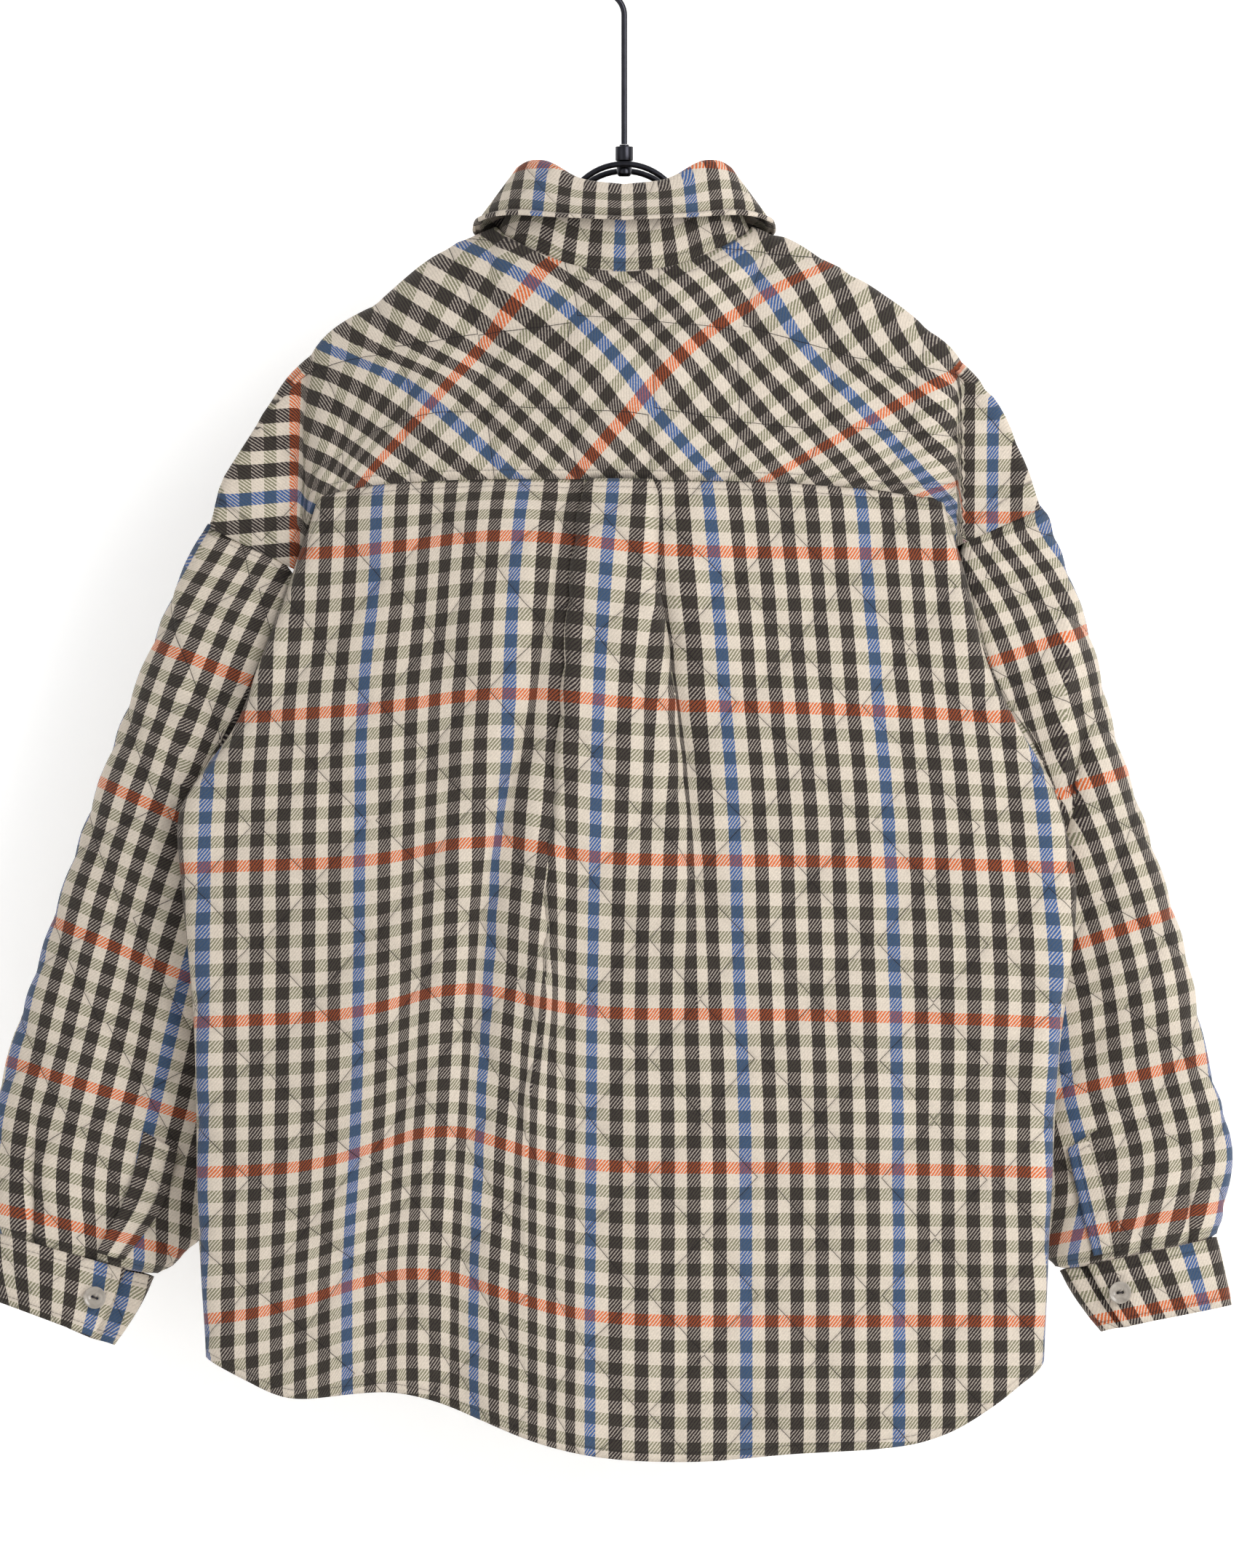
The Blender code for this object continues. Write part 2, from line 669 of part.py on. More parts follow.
def make_cuff(side, name, rows):
    """A band wound once round the wrist, its buttoned end lying over the other."""
    columns = []
    start, turn, under = math.radians(128), math.radians(360 + 26), math.radians(60)
    for column in range(CUFF_COLUMNS + 1):
        angle = start - turn * column / CUFF_COLUMNS
        tuck = ease((column / CUFF_COLUMNS * turn - (turn - under)) / (under * 0.5))
        entries = []
        for k, row in enumerate(rows):
            shrunk = (row[0] - 5 * tuck, row[1], row[2] + 5 * tuck, row[3], row[4], row[5] - 5.5 * tuck)
            entries.append((k, ring_point(shrunk, angle, side), 0))
        columns.append(entries)
    cloth(name, pairs(columns), "trim", flip=side < 0, wall=TRIM_WALL)


def clear_of_sleeve(rows, loop, side, column, along, out):
    """A point on a sleeve's back face, moved out from it."""
    whole = int(column)
    here = sleeve_point(rows, loop, side, whole, along)
    there = sleeve_point(rows, loop, side, whole + 1, along)
    point = here.lerp(there, column - whole)
    point.y -= out
    return point


def make_placket(side, name, rows):
    loop = armhole_loop(side)
    columns = []
    middle = 6.2 if side < 0 else 6.0
    for k in range(4):
        entries = []
        for j in range(7):
            along = len(rows) - 0.05 - 1.9 * j / 6
            width = 1.15
            point = clear_of_sleeve(rows, loop, side, middle + width * (k / 3 - 0.5), along, PLACKET_OFF)
            entries.append((-j, point, 0))
        columns.append(entries[::-1])
    cloth(name, pairs(columns), "trim", flip=side > 0, wall=PLACKET_WALL)


def collar_angles(last, count):
    return [math.radians(mix(-last, last, k / count)) for k in range(count + 1)]


def round_neck(half, back, front, angle, depth):
    y = -back * math.cos(angle) if abs(angle) < math.pi / 2 else -front * math.cos(angle)
    return Vector((half * math.sin(angle), y, -depth))


def neck_seam(angle):
    x = NECK_HALF * math.sin(angle)
    top = top_of(x) if abs(angle) < math.pi / 2 else front_top_of(x)
    return top[0]


def make_collar():
    stand, leaf = [], []
    for k, angle in enumerate(collar_angles(174, 28)):
        turned = abs(math.degrees(angle))
        top, edge = read(COLLAR_EDGE, turned, 1), read(COLLAR_EDGE, turned, 2)
        seam = neck_seam(angle)
        entries = []
        for j in range(4):
            t = j / 3
            depth = mix(top + 7, seam - 1.2, t)
            half = mix(COLLAR_TOP_HALF - 5, NECK_HALF - 3, t)
            entries.append((j, round_neck(
                half, mix(COLLAR_TOP_BACK - 5, NECK_BACK - 1, t), mix(COLLAR_TOP_FRONT - 5, NECK_FRONT - 1, t),
                angle, depth), 0))
        stand.append(entries)
        entries = []
        for j, (grow, down) in enumerate(COLLAR_ROLL):
            entries.append((j, round_neck(COLLAR_TOP_HALF + grow, COLLAR_TOP_BACK + grow,
                                          COLLAR_TOP_FRONT + grow, angle, top + down), 0))
        for j in range(1, 4):
            t = j / 3
            entries.append((j + 2, round_neck(
                mix(COLLAR_TOP_HALF + 4, LEAF_HALF, t), mix(COLLAR_TOP_BACK + 4, LEAF_BACK, t),
                mix(COLLAR_TOP_FRONT + 4, LEAF_FRONT, t), angle, mix(top + 5, edge, t)), 0))
        leaf.append(entries)
    cloth("collar_stand", pairs(stand), "trim", wall=TRIM_WALL)
    cloth("collar_leaf", pairs(leaf), "trim", wall=TRIM_WALL)


def make_band():
    columns = []
    for k in range(3):
        across = mix(-FRONT_OVERLAP + 0.3, FRONT_OVERLAP, k / 2)
        entries = []
        for j in range(18):
            start, end = front_top_of(across)[0] + 2, read(FRONT_HEM, abs(across), 1) - 0.3
            depth = mix(start, end, j / 17)
            point = front_point(across, depth)
            point.y += BAND_OFF
            entries.append((j, point, 0))
        columns.append(entries)
    cloth("front_band", pairs(columns), "trim", flip=True, wall=BAND_WALL)


def make_button(name, place, facing):
    """A turned button with a raised rim, its back on the cloth at place."""
    bm = bmesh.new()
    bmesh.ops.create_cone(
        bm, cap_ends=True, cap_tris=False, segments=20,
        radius1=BUTTON_RADIUS * MM, radius2=BUTTON_RADIUS * 0.9 * MM, depth=BUTTON_THICK * MM,
    )
    top = max(bm.faces, key=lambda f: f.calc_center_median().z)
    bmesh.ops.inset_region(bm, faces=[top], thickness=1.6 * MM, depth=-0.5 * MM)
    bmesh.ops.translate(bm, verts=bm.verts, vec=(0, 0, BUTTON_THICK / 2 * MM))
    turn = facing.to_track_quat("Z", "Y").to_matrix().to_4x4()
    bmesh.ops.transform(bm, matrix=turn, verts=bm.verts)
    mesh = bpy.data.meshes.new(name)
    bm.to_mesh(mesh)
    bm.free()
    obj = add_object(name, mesh, "button")
    obj.location = place * MM
    return obj


def make_buttons():
    for k in range(FRONT_BUTTONS):
        depth = mix(*FRONT_BUTTON_DEPTHS, k / (FRONT_BUTTONS - 1))
        place = front_point(0, depth)
        place.y += FRONT_BUTTON_OFF
        make_button(f"front_button_{k + 1}", place, Vector((0, 1, 0)))
    for side, name, rows in ((-1, "cuff_button_left", CUFF_LEFT), (1, "cuff_button_right", CUFF_RIGHT)):
        place = ring_point(rows[1], math.radians(112), side)
        place.y -= CUFF_BUTTON_OFF
        make_button(name, place, Vector((0, -1, 0)))


def add_wire(name, points, closed=False):
    curve = bpy.data.curves.new(name, "CURVE")
    curve.dimensions = "3D"
    curve.bevel_depth = WIRE * MM
    curve.bevel_resolution = 2
    curve.use_fill_caps = not closed
    line = curve.splines.new("POLY")
    line.points.add(len(points) - 1)
    line.use_cyclic_u = closed
    for spot, place in zip(line.points, points):
        spot.co = (*(place * MM), 1)
    return add_object(name, curve, "wire")


def make_hook():
    lean = math.acos(HOOK_BEND / (HOOK_BEND + HOOK_RADIUS))
    points = [Vector((0, 0, mix(STEM_END, STEM_TOP, k / 3))) for k in range(4)]
    for k in range(1, 6):
        turn = lean * k / 5
        points.append(Vector((HOOK_BEND * (math.cos(turn) - 1), 0, STEM_TOP + HOOK_BEND * math.sin(turn))))
    middle = WIRE - HOOK_RADIUS
    first, last = math.pi + lean, math.radians(-15)
    for k in range(1, 19):
        turn = mix(first, last, k / 18)
        points.append(Vector((HOOK_RADIUS * math.cos(turn), 0, middle + HOOK_RADIUS * math.sin(turn))))
    add_wire("hanger_hook", points)


def make_hanger_collar():
    """The turned bead that joins the hook's stem to the wires, as a profile spun round the stem."""
    # radius, height
    profile = [(3.2, -151.9), (3.2, -153.2), (5.9, -153.2), (5.9, -162.4), (4.6, -163.0),
               (4.6, -166.4), (5.0, -167.0), (5.0, -171.2), (3.6, -173.0)]
    bm = bmesh.new()
    edge = [bm.verts.new((r * MM, 0, z * MM)) for r, z in profile]
    ends = [bm.verts.new((0, 0, profile[0][1] * MM)), bm.verts.new((0, 0, profile[-1][1] * MM))]
    chain = [ends[0]] + edge + [ends[1]]
    lines = [bm.edges.new(pair) for pair in zip(chain[:-1], chain[1:])]
    bmesh.ops.spin(bm, geom=chain + lines, cent=(0, 0, 0), axis=(0, 0, 1), angle=2 * math.pi,
                   steps=16, use_merge=True)
    bmesh.ops.remove_doubles(bm, verts=bm.verts, dist=0.00001)
    bmesh.ops.recalc_face_normals(bm, faces=bm.faces)
    mesh = bpy.data.meshes.new("hanger_collar")
    bm.to_mesh(mesh)
    bm.free()
    add_object("hanger_collar", mesh, "wire")


def make_wires():
    for name, side in (("back", -1), ("front", 1)):
        top = WIRE_TOPS[name]
        right = []
        for k in range(7):
            turn = math.radians(78) * k / 6
            right.append((ARCH_RADIUS * math.sin(turn), top - ARCH_RADIUS * (1 - math.cos(turn))))
        right += WIRE_PATH
        apart = [side * mix(WIRE_APART, WIRE_TIP_APART, ease((x - 90) / 80)) for x, _ in right]
        half = [Vector((x, y, z)) for (x, z), y in zip(right, apart)]
        loop = half + [Vector((-p.x, p.y, p.z)) for p in reversed(half[1:])]
        add_wire(f"hanger_wire_{name}", loop, closed=True)


def build():
    make_back()
    make_yoke()
    make_front(-1, "front_left")
    make_front(1, "front_right")
    make_band()
    make_collar()
    for side, word, rows, cuff in (
        (-1, "left", SLEEVE_LEFT, CUFF_LEFT),
        (1, "right", SLEEVE_RIGHT, CUFF_RIGHT),
    ):
        make_sleeve(side, "sleeve_" + word, rows)
        make_placket(side, "sleeve_placket_" + word, rows)
        make_cuff(side, "cuff_" + word, cuff)
    make_buttons()
    make_hook()
    make_hanger_collar()
    make_wires()


clear_scene()
parts = bpy.data.collections.new("shacket")
bpy.context.scene.collection.children.link(parts)
build()
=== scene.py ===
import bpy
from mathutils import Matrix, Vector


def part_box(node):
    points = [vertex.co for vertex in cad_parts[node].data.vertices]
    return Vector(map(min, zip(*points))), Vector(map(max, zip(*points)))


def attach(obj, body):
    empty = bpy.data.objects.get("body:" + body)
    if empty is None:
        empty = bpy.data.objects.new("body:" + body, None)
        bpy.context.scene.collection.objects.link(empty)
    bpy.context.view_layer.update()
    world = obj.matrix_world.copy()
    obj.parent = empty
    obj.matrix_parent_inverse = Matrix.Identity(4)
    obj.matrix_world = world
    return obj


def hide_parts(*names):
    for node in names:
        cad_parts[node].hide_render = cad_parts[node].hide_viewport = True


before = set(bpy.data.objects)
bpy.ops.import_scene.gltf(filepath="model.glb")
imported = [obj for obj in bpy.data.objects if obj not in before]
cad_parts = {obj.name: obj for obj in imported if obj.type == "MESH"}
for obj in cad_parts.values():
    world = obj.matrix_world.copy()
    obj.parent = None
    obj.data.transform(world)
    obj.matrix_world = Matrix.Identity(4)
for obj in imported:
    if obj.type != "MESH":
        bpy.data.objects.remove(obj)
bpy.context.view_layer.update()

import math
from functools import partial

import bmesh
import bpy
from mathutils import Matrix, Vector

# Quilted check shacket on a wire hanger, back towards the camera
# All shapes are worked out in millimetres, with depth measured down from the inside of the hook
mm = 0.001
scene = bpy.context.scene


# Reading the tables

def smoothRead(table, at, column):
    # a smooth curve through one column of a table, read at a value of the first column
    if at <= table[0][0]:
        return table[0][column]
    if at >= table[-1][0]:
        return table[-1][column]
    k = next(i for i in range(len(table) - 1) if at <= table[i + 1][0])
    span = table[k + 1][0] - table[k][0]

    def slope(i):
        low, high = max(i - 1, 0), min(i + 1, len(table) - 1)
        return (table[high][column] - table[low][column]) / (table[high][0] - table[low][0])

    t = (at - table[k][0]) / span
    a, b = table[k][column], table[k + 1][column]
    m, n = slope(k) * span, slope(k + 1) * span
    return (
        (2 * t**3 - 3 * t**2 + 1) * a + (t**3 - 2 * t**2 + t) * m
        + (3 * t**2 - 2 * t**3) * b + (t**3 - t**2) * n
    )


def lineRead(knots, at):
    # straight lines through the knots, going on past both ends
    k = 0
    while k < len(knots) - 2 and at > knots[k + 1][0]:
        k += 1
    (a, low), (b, high) = knots[k], knots[k + 1]
    return low + (high - low) * (at - a) / (b - a)


def ease(t):
    t = min(max(t, 0.0), 1.0)
    return t * t * (3 - 2 * t)


def mix(a, b, t):
    return a + (b - a) * t


def column(x):
    return 1 if x < 0 else 2


# Materials

def linear(code, alpha=1.0):
    found = []
    for k in (1, 3, 5):
        c = int(code[k:k + 2], 16) / 255
        found.append(c / 12.92 if c <= 0.04045 else ((c + 0.055) / 1.055) ** 2.4)
    return (*found, alpha)


def fill(node, inputs):
    # an input gets a number, a colour, a node's first output or one chosen output
    shown = [socket for socket in node.inputs if socket.enabled]
    for key, value in inputs.items():
        socket = shown[key] if isinstance(key, int) else node.inputs[key]
        if isinstance(value, bpy.types.Node):
            value = next(output for output in value.outputs if output.enabled)
        if isinstance(value, bpy.types.NodeSocket):
            node.id_data.links.new(value, socket)
        else:
            socket.default_value = value


def addNode(tree, kind, *values, named=None, **settings):
    # kind is the node's name and, for a sum, its operation; values go to the inputs in order
    kind, *operation = kind.split()
    node = tree.nodes.new("ShaderNode" + kind)
    if operation:
        node.operation = operation[0]
    for key, value in settings.items():
        setattr(node, key, value)
    fill(node, {**dict(enumerate(values)), **(named or {})})
    return node


def newMaterial(name):
    # the material, its surface, and what adds a node to it
    made = bpy.data.materials.new(name)
    made.use_nodes = True
    return made, made.node_tree.nodes["Principled BSDF"], partial(addNode, made.node_tree)


cloth = {
    "cream": "#C9BDAE",
    "brown": "#20171A",
    "blue": "#2C5289",
    "darkBlue": "#2B4566",      # blue where a green or orange row crosses it
    "green": "#7D7B62",
    "orange": "#D0642E",
    "thread": "#181315",
    "blueEvery": 103.0,         # brown stripes of warp, every sixth one blue
    "orangeEvery": 101.0,       # green rows of weft, every sixth one orange
    "brownHalf": 4.55,
    "blueHalf": 4.1,
    "greenHalf": 4.15,
    "orangeHalf": 3.9,
    "waver": 0.7,               # how far a stripe's edge strays
    "twillAcross": 2.25,        # one diagonal line of the twill to the next
    "twillDown": 2.95,
    "fray": 0.55,
    "warpOnTop": 0.63,          # share of the twill that shows the warp
    "warpOnGreen": 0.43,
    "warpOnOrange": 0.4,
    "greenSunk": 0.84,          # how far the weft sinks between the dark warp threads
    "orangeSunk": 0.62,
    "creamSunk": 0.4,
    "creamSunkInBlue": 0.25,
    "fleck": 0.5,
    "slowTone": 0.2,
    # painted shade between the threads of the twill
    "groove": 0.1,
    "hemLine": 6.0,             # from a seam or hem to its stitching
    "hemStitch": 3.4,
}

quilting = {
    # the sewn chevrons: pitch, start across and down, gap at their inner points, reach to the side
    "pitch": 78.0, "across": 3.0, "down": 442.0, "innerGap": 3.0, "reach": 36.5,
    "sway": 2.4, "stitch": 2.4,
    # how far from the line the cloth is pressed down, and how far up its slope the painted shade along the
    # line reaches; the pressed band gets painted shade too
    "pressed": 2.2, "shadedSlope": 9.0,
    # height of the wadding, how soon it rises, and the thickness of the cloth
    "height": 2.7, "rise": 8.0, "wall": 3.2, "edgeWall": 2.3, "edgeReach": 11.0,
}
diagonal = 0.707     # from a distance along a row to one square to the line


def quiltedCheck(name, lineStrength):
    # brushed cotton and wool twill: dull, a little hairy, with a soft sheen at the edges
    made, shader, add = newMaterial(name)
    tone = {key: linear(value) for key, value in cloth.items() if isinstance(value, str)}
    place = add("UVMap", uv_map="cloth")
    split = add("SeparateXYZ", place).outputs
    whole = add("TexCoord").outputs["Object"]
    waver = add("TexNoise", named={"Vector": place, "Scale": 90.0, "Detail": 2.0}).outputs["Color"]
    apart = add("SeparateXYZ", waver).outputs
    u, v = (
        add("Math MULTIPLY_ADD", split[k], 1000.0,
            add("Math MULTIPLY_ADD", apart[k], cloth["waver"], -cloth["waver"] / 2))
        for k in (0, 1)
    )

    def stripes(at, sixth, half, sixthHalf):
        # whether the nearest stripe is a sixth one, and whether this is inside it
        count = add("Math DIVIDE", at, sixth / 6)
        nearest = add("Math ROUND", count)
        off = add("Math MULTIPLY", add("Math ABSOLUTE", add("Math SUBTRACT", count, nearest)), sixth / 6)
        isSixth = add("Math COMPARE", add("Math FLOORED_MODULO", nearest, 6.0), 0.0, 0.5)
        past = add("Math SUBTRACT", off, add("Math MULTIPLY_ADD", isSixth, sixthHalf - half, half))
        return isSixth, add("MapRange", past, -0.12, 0.12, 1.0, 0.0)

    # warp: blue and dark brown stripes on cream; weft: green and orange rows on cream
    isBlue, inStripe = stripes(u, cloth["blueEvery"], cloth["brownHalf"], cloth["blueHalf"])
    isOrange, inRow = stripes(v, cloth["orangeEvery"], cloth["greenHalf"], cloth["orangeHalf"])
    blueTone = add("Mix", inRow, tone["blue"], tone["darkBlue"], data_type="RGBA")
    stripeTone = add("Mix", isBlue, tone["brown"], blueTone, data_type="RGBA")
    warpTone = add("Mix", inStripe, tone["cream"], stripeTone, data_type="RGBA")
    rowTone = add("Mix", isOrange, tone["green"], tone["orange"], data_type="RGBA")
    weftTone = add("Mix", inRow, tone["cream"], rowTone, data_type="RGBA")

    # the weft's fine threads sink between the darker warp ones, the green ones most
    sunk = add("Math MULTIPLY_ADD", isOrange, cloth["orangeSunk"] - cloth["greenSunk"], cloth["greenSunk"])
    plain = add("Math MULTIPLY_ADD", isBlue, cloth["creamSunkInBlue"] - cloth["creamSunk"],
                cloth["creamSunk"])
    sunk = add("Math MULTIPLY_ADD", inRow, add("Math SUBTRACT", sunk, plain), plain)
    weftTone = add("Mix", add("Math MULTIPLY", sunk, inStripe), weftTone, warpTone, data_type="RGBA")

    # twill: fine diagonal lines of warp over weft
    fray = add("TexNoise", named={"Vector": place, "Scale": 1400.0, "Detail": 2.0})
    twill = add("Math ADD", add("Math DIVIDE", u, cloth["twillAcross"]),
                add("Math DIVIDE", v, cloth["twillDown"]))
    twill = add("Math MULTIPLY_ADD", add("Math SUBTRACT", fray, 0.5), cloth["fray"], twill)
    fromMiddle = add("Math ABSOLUTE", add("Math SUBTRACT", add("Math FRACT", twill), 0.5))
    less = add("Math MULTIPLY_ADD", isOrange, cloth["warpOnOrange"] - cloth["warpOnGreen"],
               cloth["warpOnGreen"] - cloth["warpOnTop"])
    shown = add("Math MULTIPLY_ADD", add("Math MULTIPLY", inRow, less), 0.5, cloth["warpOnTop"] / 2)
    onTop = add("MapRange", add("Math SUBTRACT", fromMiddle, shown), -0.1, 0.1, 1.0, 0.0)
    colour = add("Mix", onTop, weftTone, warpTone, data_type="RGBA")

    # brushed surface: small light and dark flecks, slow changes of tone, and painted shade between the
    # threads
    fleck = add("TexNoise", named={"Vector": whole, "Scale": 900.0, "Detail": 3.0})
    slow = add("TexNoise", named={"Vector": whole, "Scale": 14.0, "Detail": 3.0})
    flecksAndPaintedShade = add("Math MULTIPLY_ADD", fleck, cloth["fleck"], 1 - cloth["fleck"] / 2)
    for part, amount, base in ((slow, cloth["slowTone"], 1 - cloth["slowTone"] / 2),
                               (onTop, cloth["groove"], 1 - cloth["groove"])):
        flecksAndPaintedShade = add("Math MULTIPLY", flecksAndPaintedShade, add("Math MULTIPLY_ADD", part, amount, base))

    # quilting: chevrons of dark thread
    quiltPlace = add("UVMap", uv_map="quilting")
    quiltSplit = add("SeparateXYZ", quiltPlace).outputs
    sway = add("TexNoise", named={"Vector": quiltPlace, "Scale": 45.0, "Detail": 2.0})
    shift = add("Math MULTIPLY_ADD", sway, quilting["sway"], -quilting["sway"] / 2)
    quiltU = add("Math MULTIPLY_ADD", quiltSplit[0], 1000.0, shift)
    quiltV = add("Math MULTIPLY", quiltSplit[1], 1000.0)
    share = add("Math DIVIDE", add("Math ADD", quiltU, quilting["across"]), quilting["pitch"])
    share = add("Math FRACT", share)
    out = add("Math MULTIPLY", add("Math ABSOLUTE", add("Math SUBTRACT", share, 0.5)), quilting["pitch"])
    row = add("Math DIVIDE", add("Math SUBTRACT", quiltV, quilting["down"]), quilting["pitch"])
    zig = add("Math ABSOLUTE", add("Math MULTIPLY", add("Math SUBTRACT", row, add("Math ROUND", row)), 2.0))
    line = add("Math MULTIPLY_ADD", zig, quilting["reach"], quilting["innerGap"])
    fromLine = add("Math MULTIPLY", add("Math ABSOLUTE", add("Math SUBTRACT", out, line)), diagonal)
    stitch = add("Math FRACT", add("Math DIVIDE", quiltV, quilting["stitch"]))
    stitch = add("Math MULTIPLY_ADD", add("MapRange", stitch, 0.84, 0.96, 1.0, 0.0), 0.4, 0.6)
    sewn = add("Math MULTIPLY", add("MapRange", fromLine, 0.16, 0.36, 1.0, 0.0), stitch)
    sewn = add("Math MULTIPLY", sewn, lineStrength)
    # painted shade along each quilting line, darkest at the line and fading over the slope beside it
    pressed = add("MapRange", fromLine, 0.0, quilting["pressed"], 1.0, 0.0)
    shadedSlope = add("MapRange", fromLine, 0.0, quilting["shadedSlope"], 1.0, 0.0)
    dark = add("Math ADD", add("Math MULTIPLY", pressed, 0.05), add("Math MULTIPLY", shadedSlope, 0.08))
    flecksAndPaintedShade = add("Math MULTIPLY", flecksAndPaintedShade, add("Math MULTIPLY_ADD", dark, -lineStrength, 1.0))

    # one row of stitching along each seam and hem
    edge = add("Attribute", attribute_name="edge").outputs["Fac"]
    edgeOff = add("Math ABSOLUTE", add("Math SUBTRACT", edge, cloth["hemLine"]))
    hemDip = add("MapRange", edgeOff, 0.0, 1.6, 1.0, 0.0)
    dash = add("Math FRACT", add("Math DIVIDE", add("Math ADD", u, v), cloth["hemStitch"]))
    hemSewn = add("Math MULTIPLY", add("MapRange", edgeOff, 0.18, 0.4, 1.0, 0.0),
                  add("MapRange", dash, 0.72, 0.84, 1.0, 0.0))
    sewn = add("Math MAXIMUM", sewn, add("Math MULTIPLY", hemSewn, 0.5))
    # painted shade in the dip along the stitching
    flecksAndPaintedShade = add("Math MULTIPLY", flecksAndPaintedShade, add("Math MULTIPLY_ADD", hemDip, -0.12, 1.0))

    grey = add("CombineXYZ", flecksAndPaintedShade, flecksAndPaintedShade, flecksAndPaintedShade)
    shade = add("Mix", 1.0, colour, grey, data_type="RGBA", blend_type="MULTIPLY")
    shade = add("Mix", sewn, shade, tone["thread"], data_type="RGBA")
    height = add("Math MULTIPLY", onTop, 0.16)
    for amount, part in ((0.16, fleck), (-0.5, pressed), (-0.45, hemDip)):
        height = add("Math MULTIPLY_ADD", part, amount, height)
    bump = add("Bump", named={"Strength": 0.8, "Distance": 0.001, "Height": height})
    fill(shader, {"Base Color": shade, "Normal": bump, "Roughness": 0.92, "Specular IOR Level": 0.2,
                  "Sheen Weight": 0.12, "Sheen Roughness": 0.6, "Sheen Tint": linear("#F2EADF")})
    return made


finishes = {
    "cloth": quiltedCheck("quilted brushed check", 0.85),       # back, fronts and sleeves
    "yoke": quiltedCheck("quilted check on the bias", 0.85),
    "trim": quiltedCheck("flat sewn check", 0.6),               # collar, cuffs, plackets and band
}


# Building cloth from a grid

def addMesh(name, bm, material, smooth=True):
    for face in bm.faces:
        face.smooth = smooth
    mesh = bpy.data.meshes.new(name)
    bm.to_mesh(mesh)
    bm.free()
    obj = bpy.data.objects.new(name, mesh)
    scene.collection.objects.link(obj)
    mesh.materials.append(material)
    return obj


def fit(obj, node):
    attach(obj, "root")
    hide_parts(node)
    return obj


def puffAt(u, v):
    # how far the wadding stands out, from the nearest line of quilting
    pitch = quilting["pitch"]
    out = abs(((u + quilting["across"]) / pitch) % 1 - 0.5) * pitch
    row = (v - quilting["down"]) / pitch
    line = quilting["innerGap"] + quilting["reach"] * abs(2 * (row - round(row)))
    return 1 - math.exp(-abs(out - line) * diagonal / quilting["rise"])


def sewCloth(name, slotName, node, columns, rows, place, quilt=(0, 0), relief=1.0, wall=quilting["wall"],
             thick=1.8, flip=False):
    # place(i, j) gives the point on the inner face, the cloth's own u and v, the distance to an edge,
    # and where the cloth is tucked under its neighbour, how far it still stands out
    bm = bmesh.new()
    bmesh.ops.create_grid(bm, x_segments=columns, y_segments=rows, size=0.5)
    clothMap = bm.loops.layers.uv.new("cloth")
    quiltMap = bm.loops.layers.uv.new("quilting")
    edgeLayer = bm.verts.layers.float.new("edge")
    outLayer = bm.verts.layers.float.new("out")
    spare = []
    for vert in bm.verts:
        found = place(round((vert.co.x + 0.5) * columns), round((vert.co.y + 0.5) * rows))
        if found is None:
            spare.append(vert)
            continue
        point, u, v, edge, *raised = found
        vert.co = point * mm
        quiltU, quiltV = u + quilt[0], v + quilt[1]
        inward = ease(edge / quilting["edgeReach"])
        vert[outLayer] = mix(min(quilting["edgeWall"], wall), wall, inward) + (
            relief * quilting["height"] * puffAt(quiltU, quiltV) * inward
        )
        if raised:
            vert[outLayer] = raised[0]
        vert[edgeLayer] = edge
        for loop in vert.link_loops:
            loop[clothMap].uv = (u * mm, v * mm)
            loop[quiltMap].uv = (quiltU * mm, quiltV * mm)
    bmesh.ops.delete(bm, geom=spare, context="VERTS")
    if flip:
        bmesh.ops.reverse_faces(bm, faces=bm.faces)
    flat = []
    for face in bm.faces:
        corners = [loop[clothMap].uv for loop in face.loops]
        flat += corners
    bmesh.ops.remove_doubles(bm, verts=bm.verts, dist=0.00002)
    bm.normal_update()
    normals = [vert.normal.copy() for vert in bm.verts]
    for vert, normal in zip(bm.verts, normals):
        vert.co += normal * vert[outLayer] * mm
    obj = fit(addMesh(name, bm, finishes[slotName]), node)
    solid = obj.modifiers.new("cloth thickness", "SOLIDIFY")
    solid.thickness = thick * mm
    solid.offset = -1


# The body's shape, from the side fold to the middle

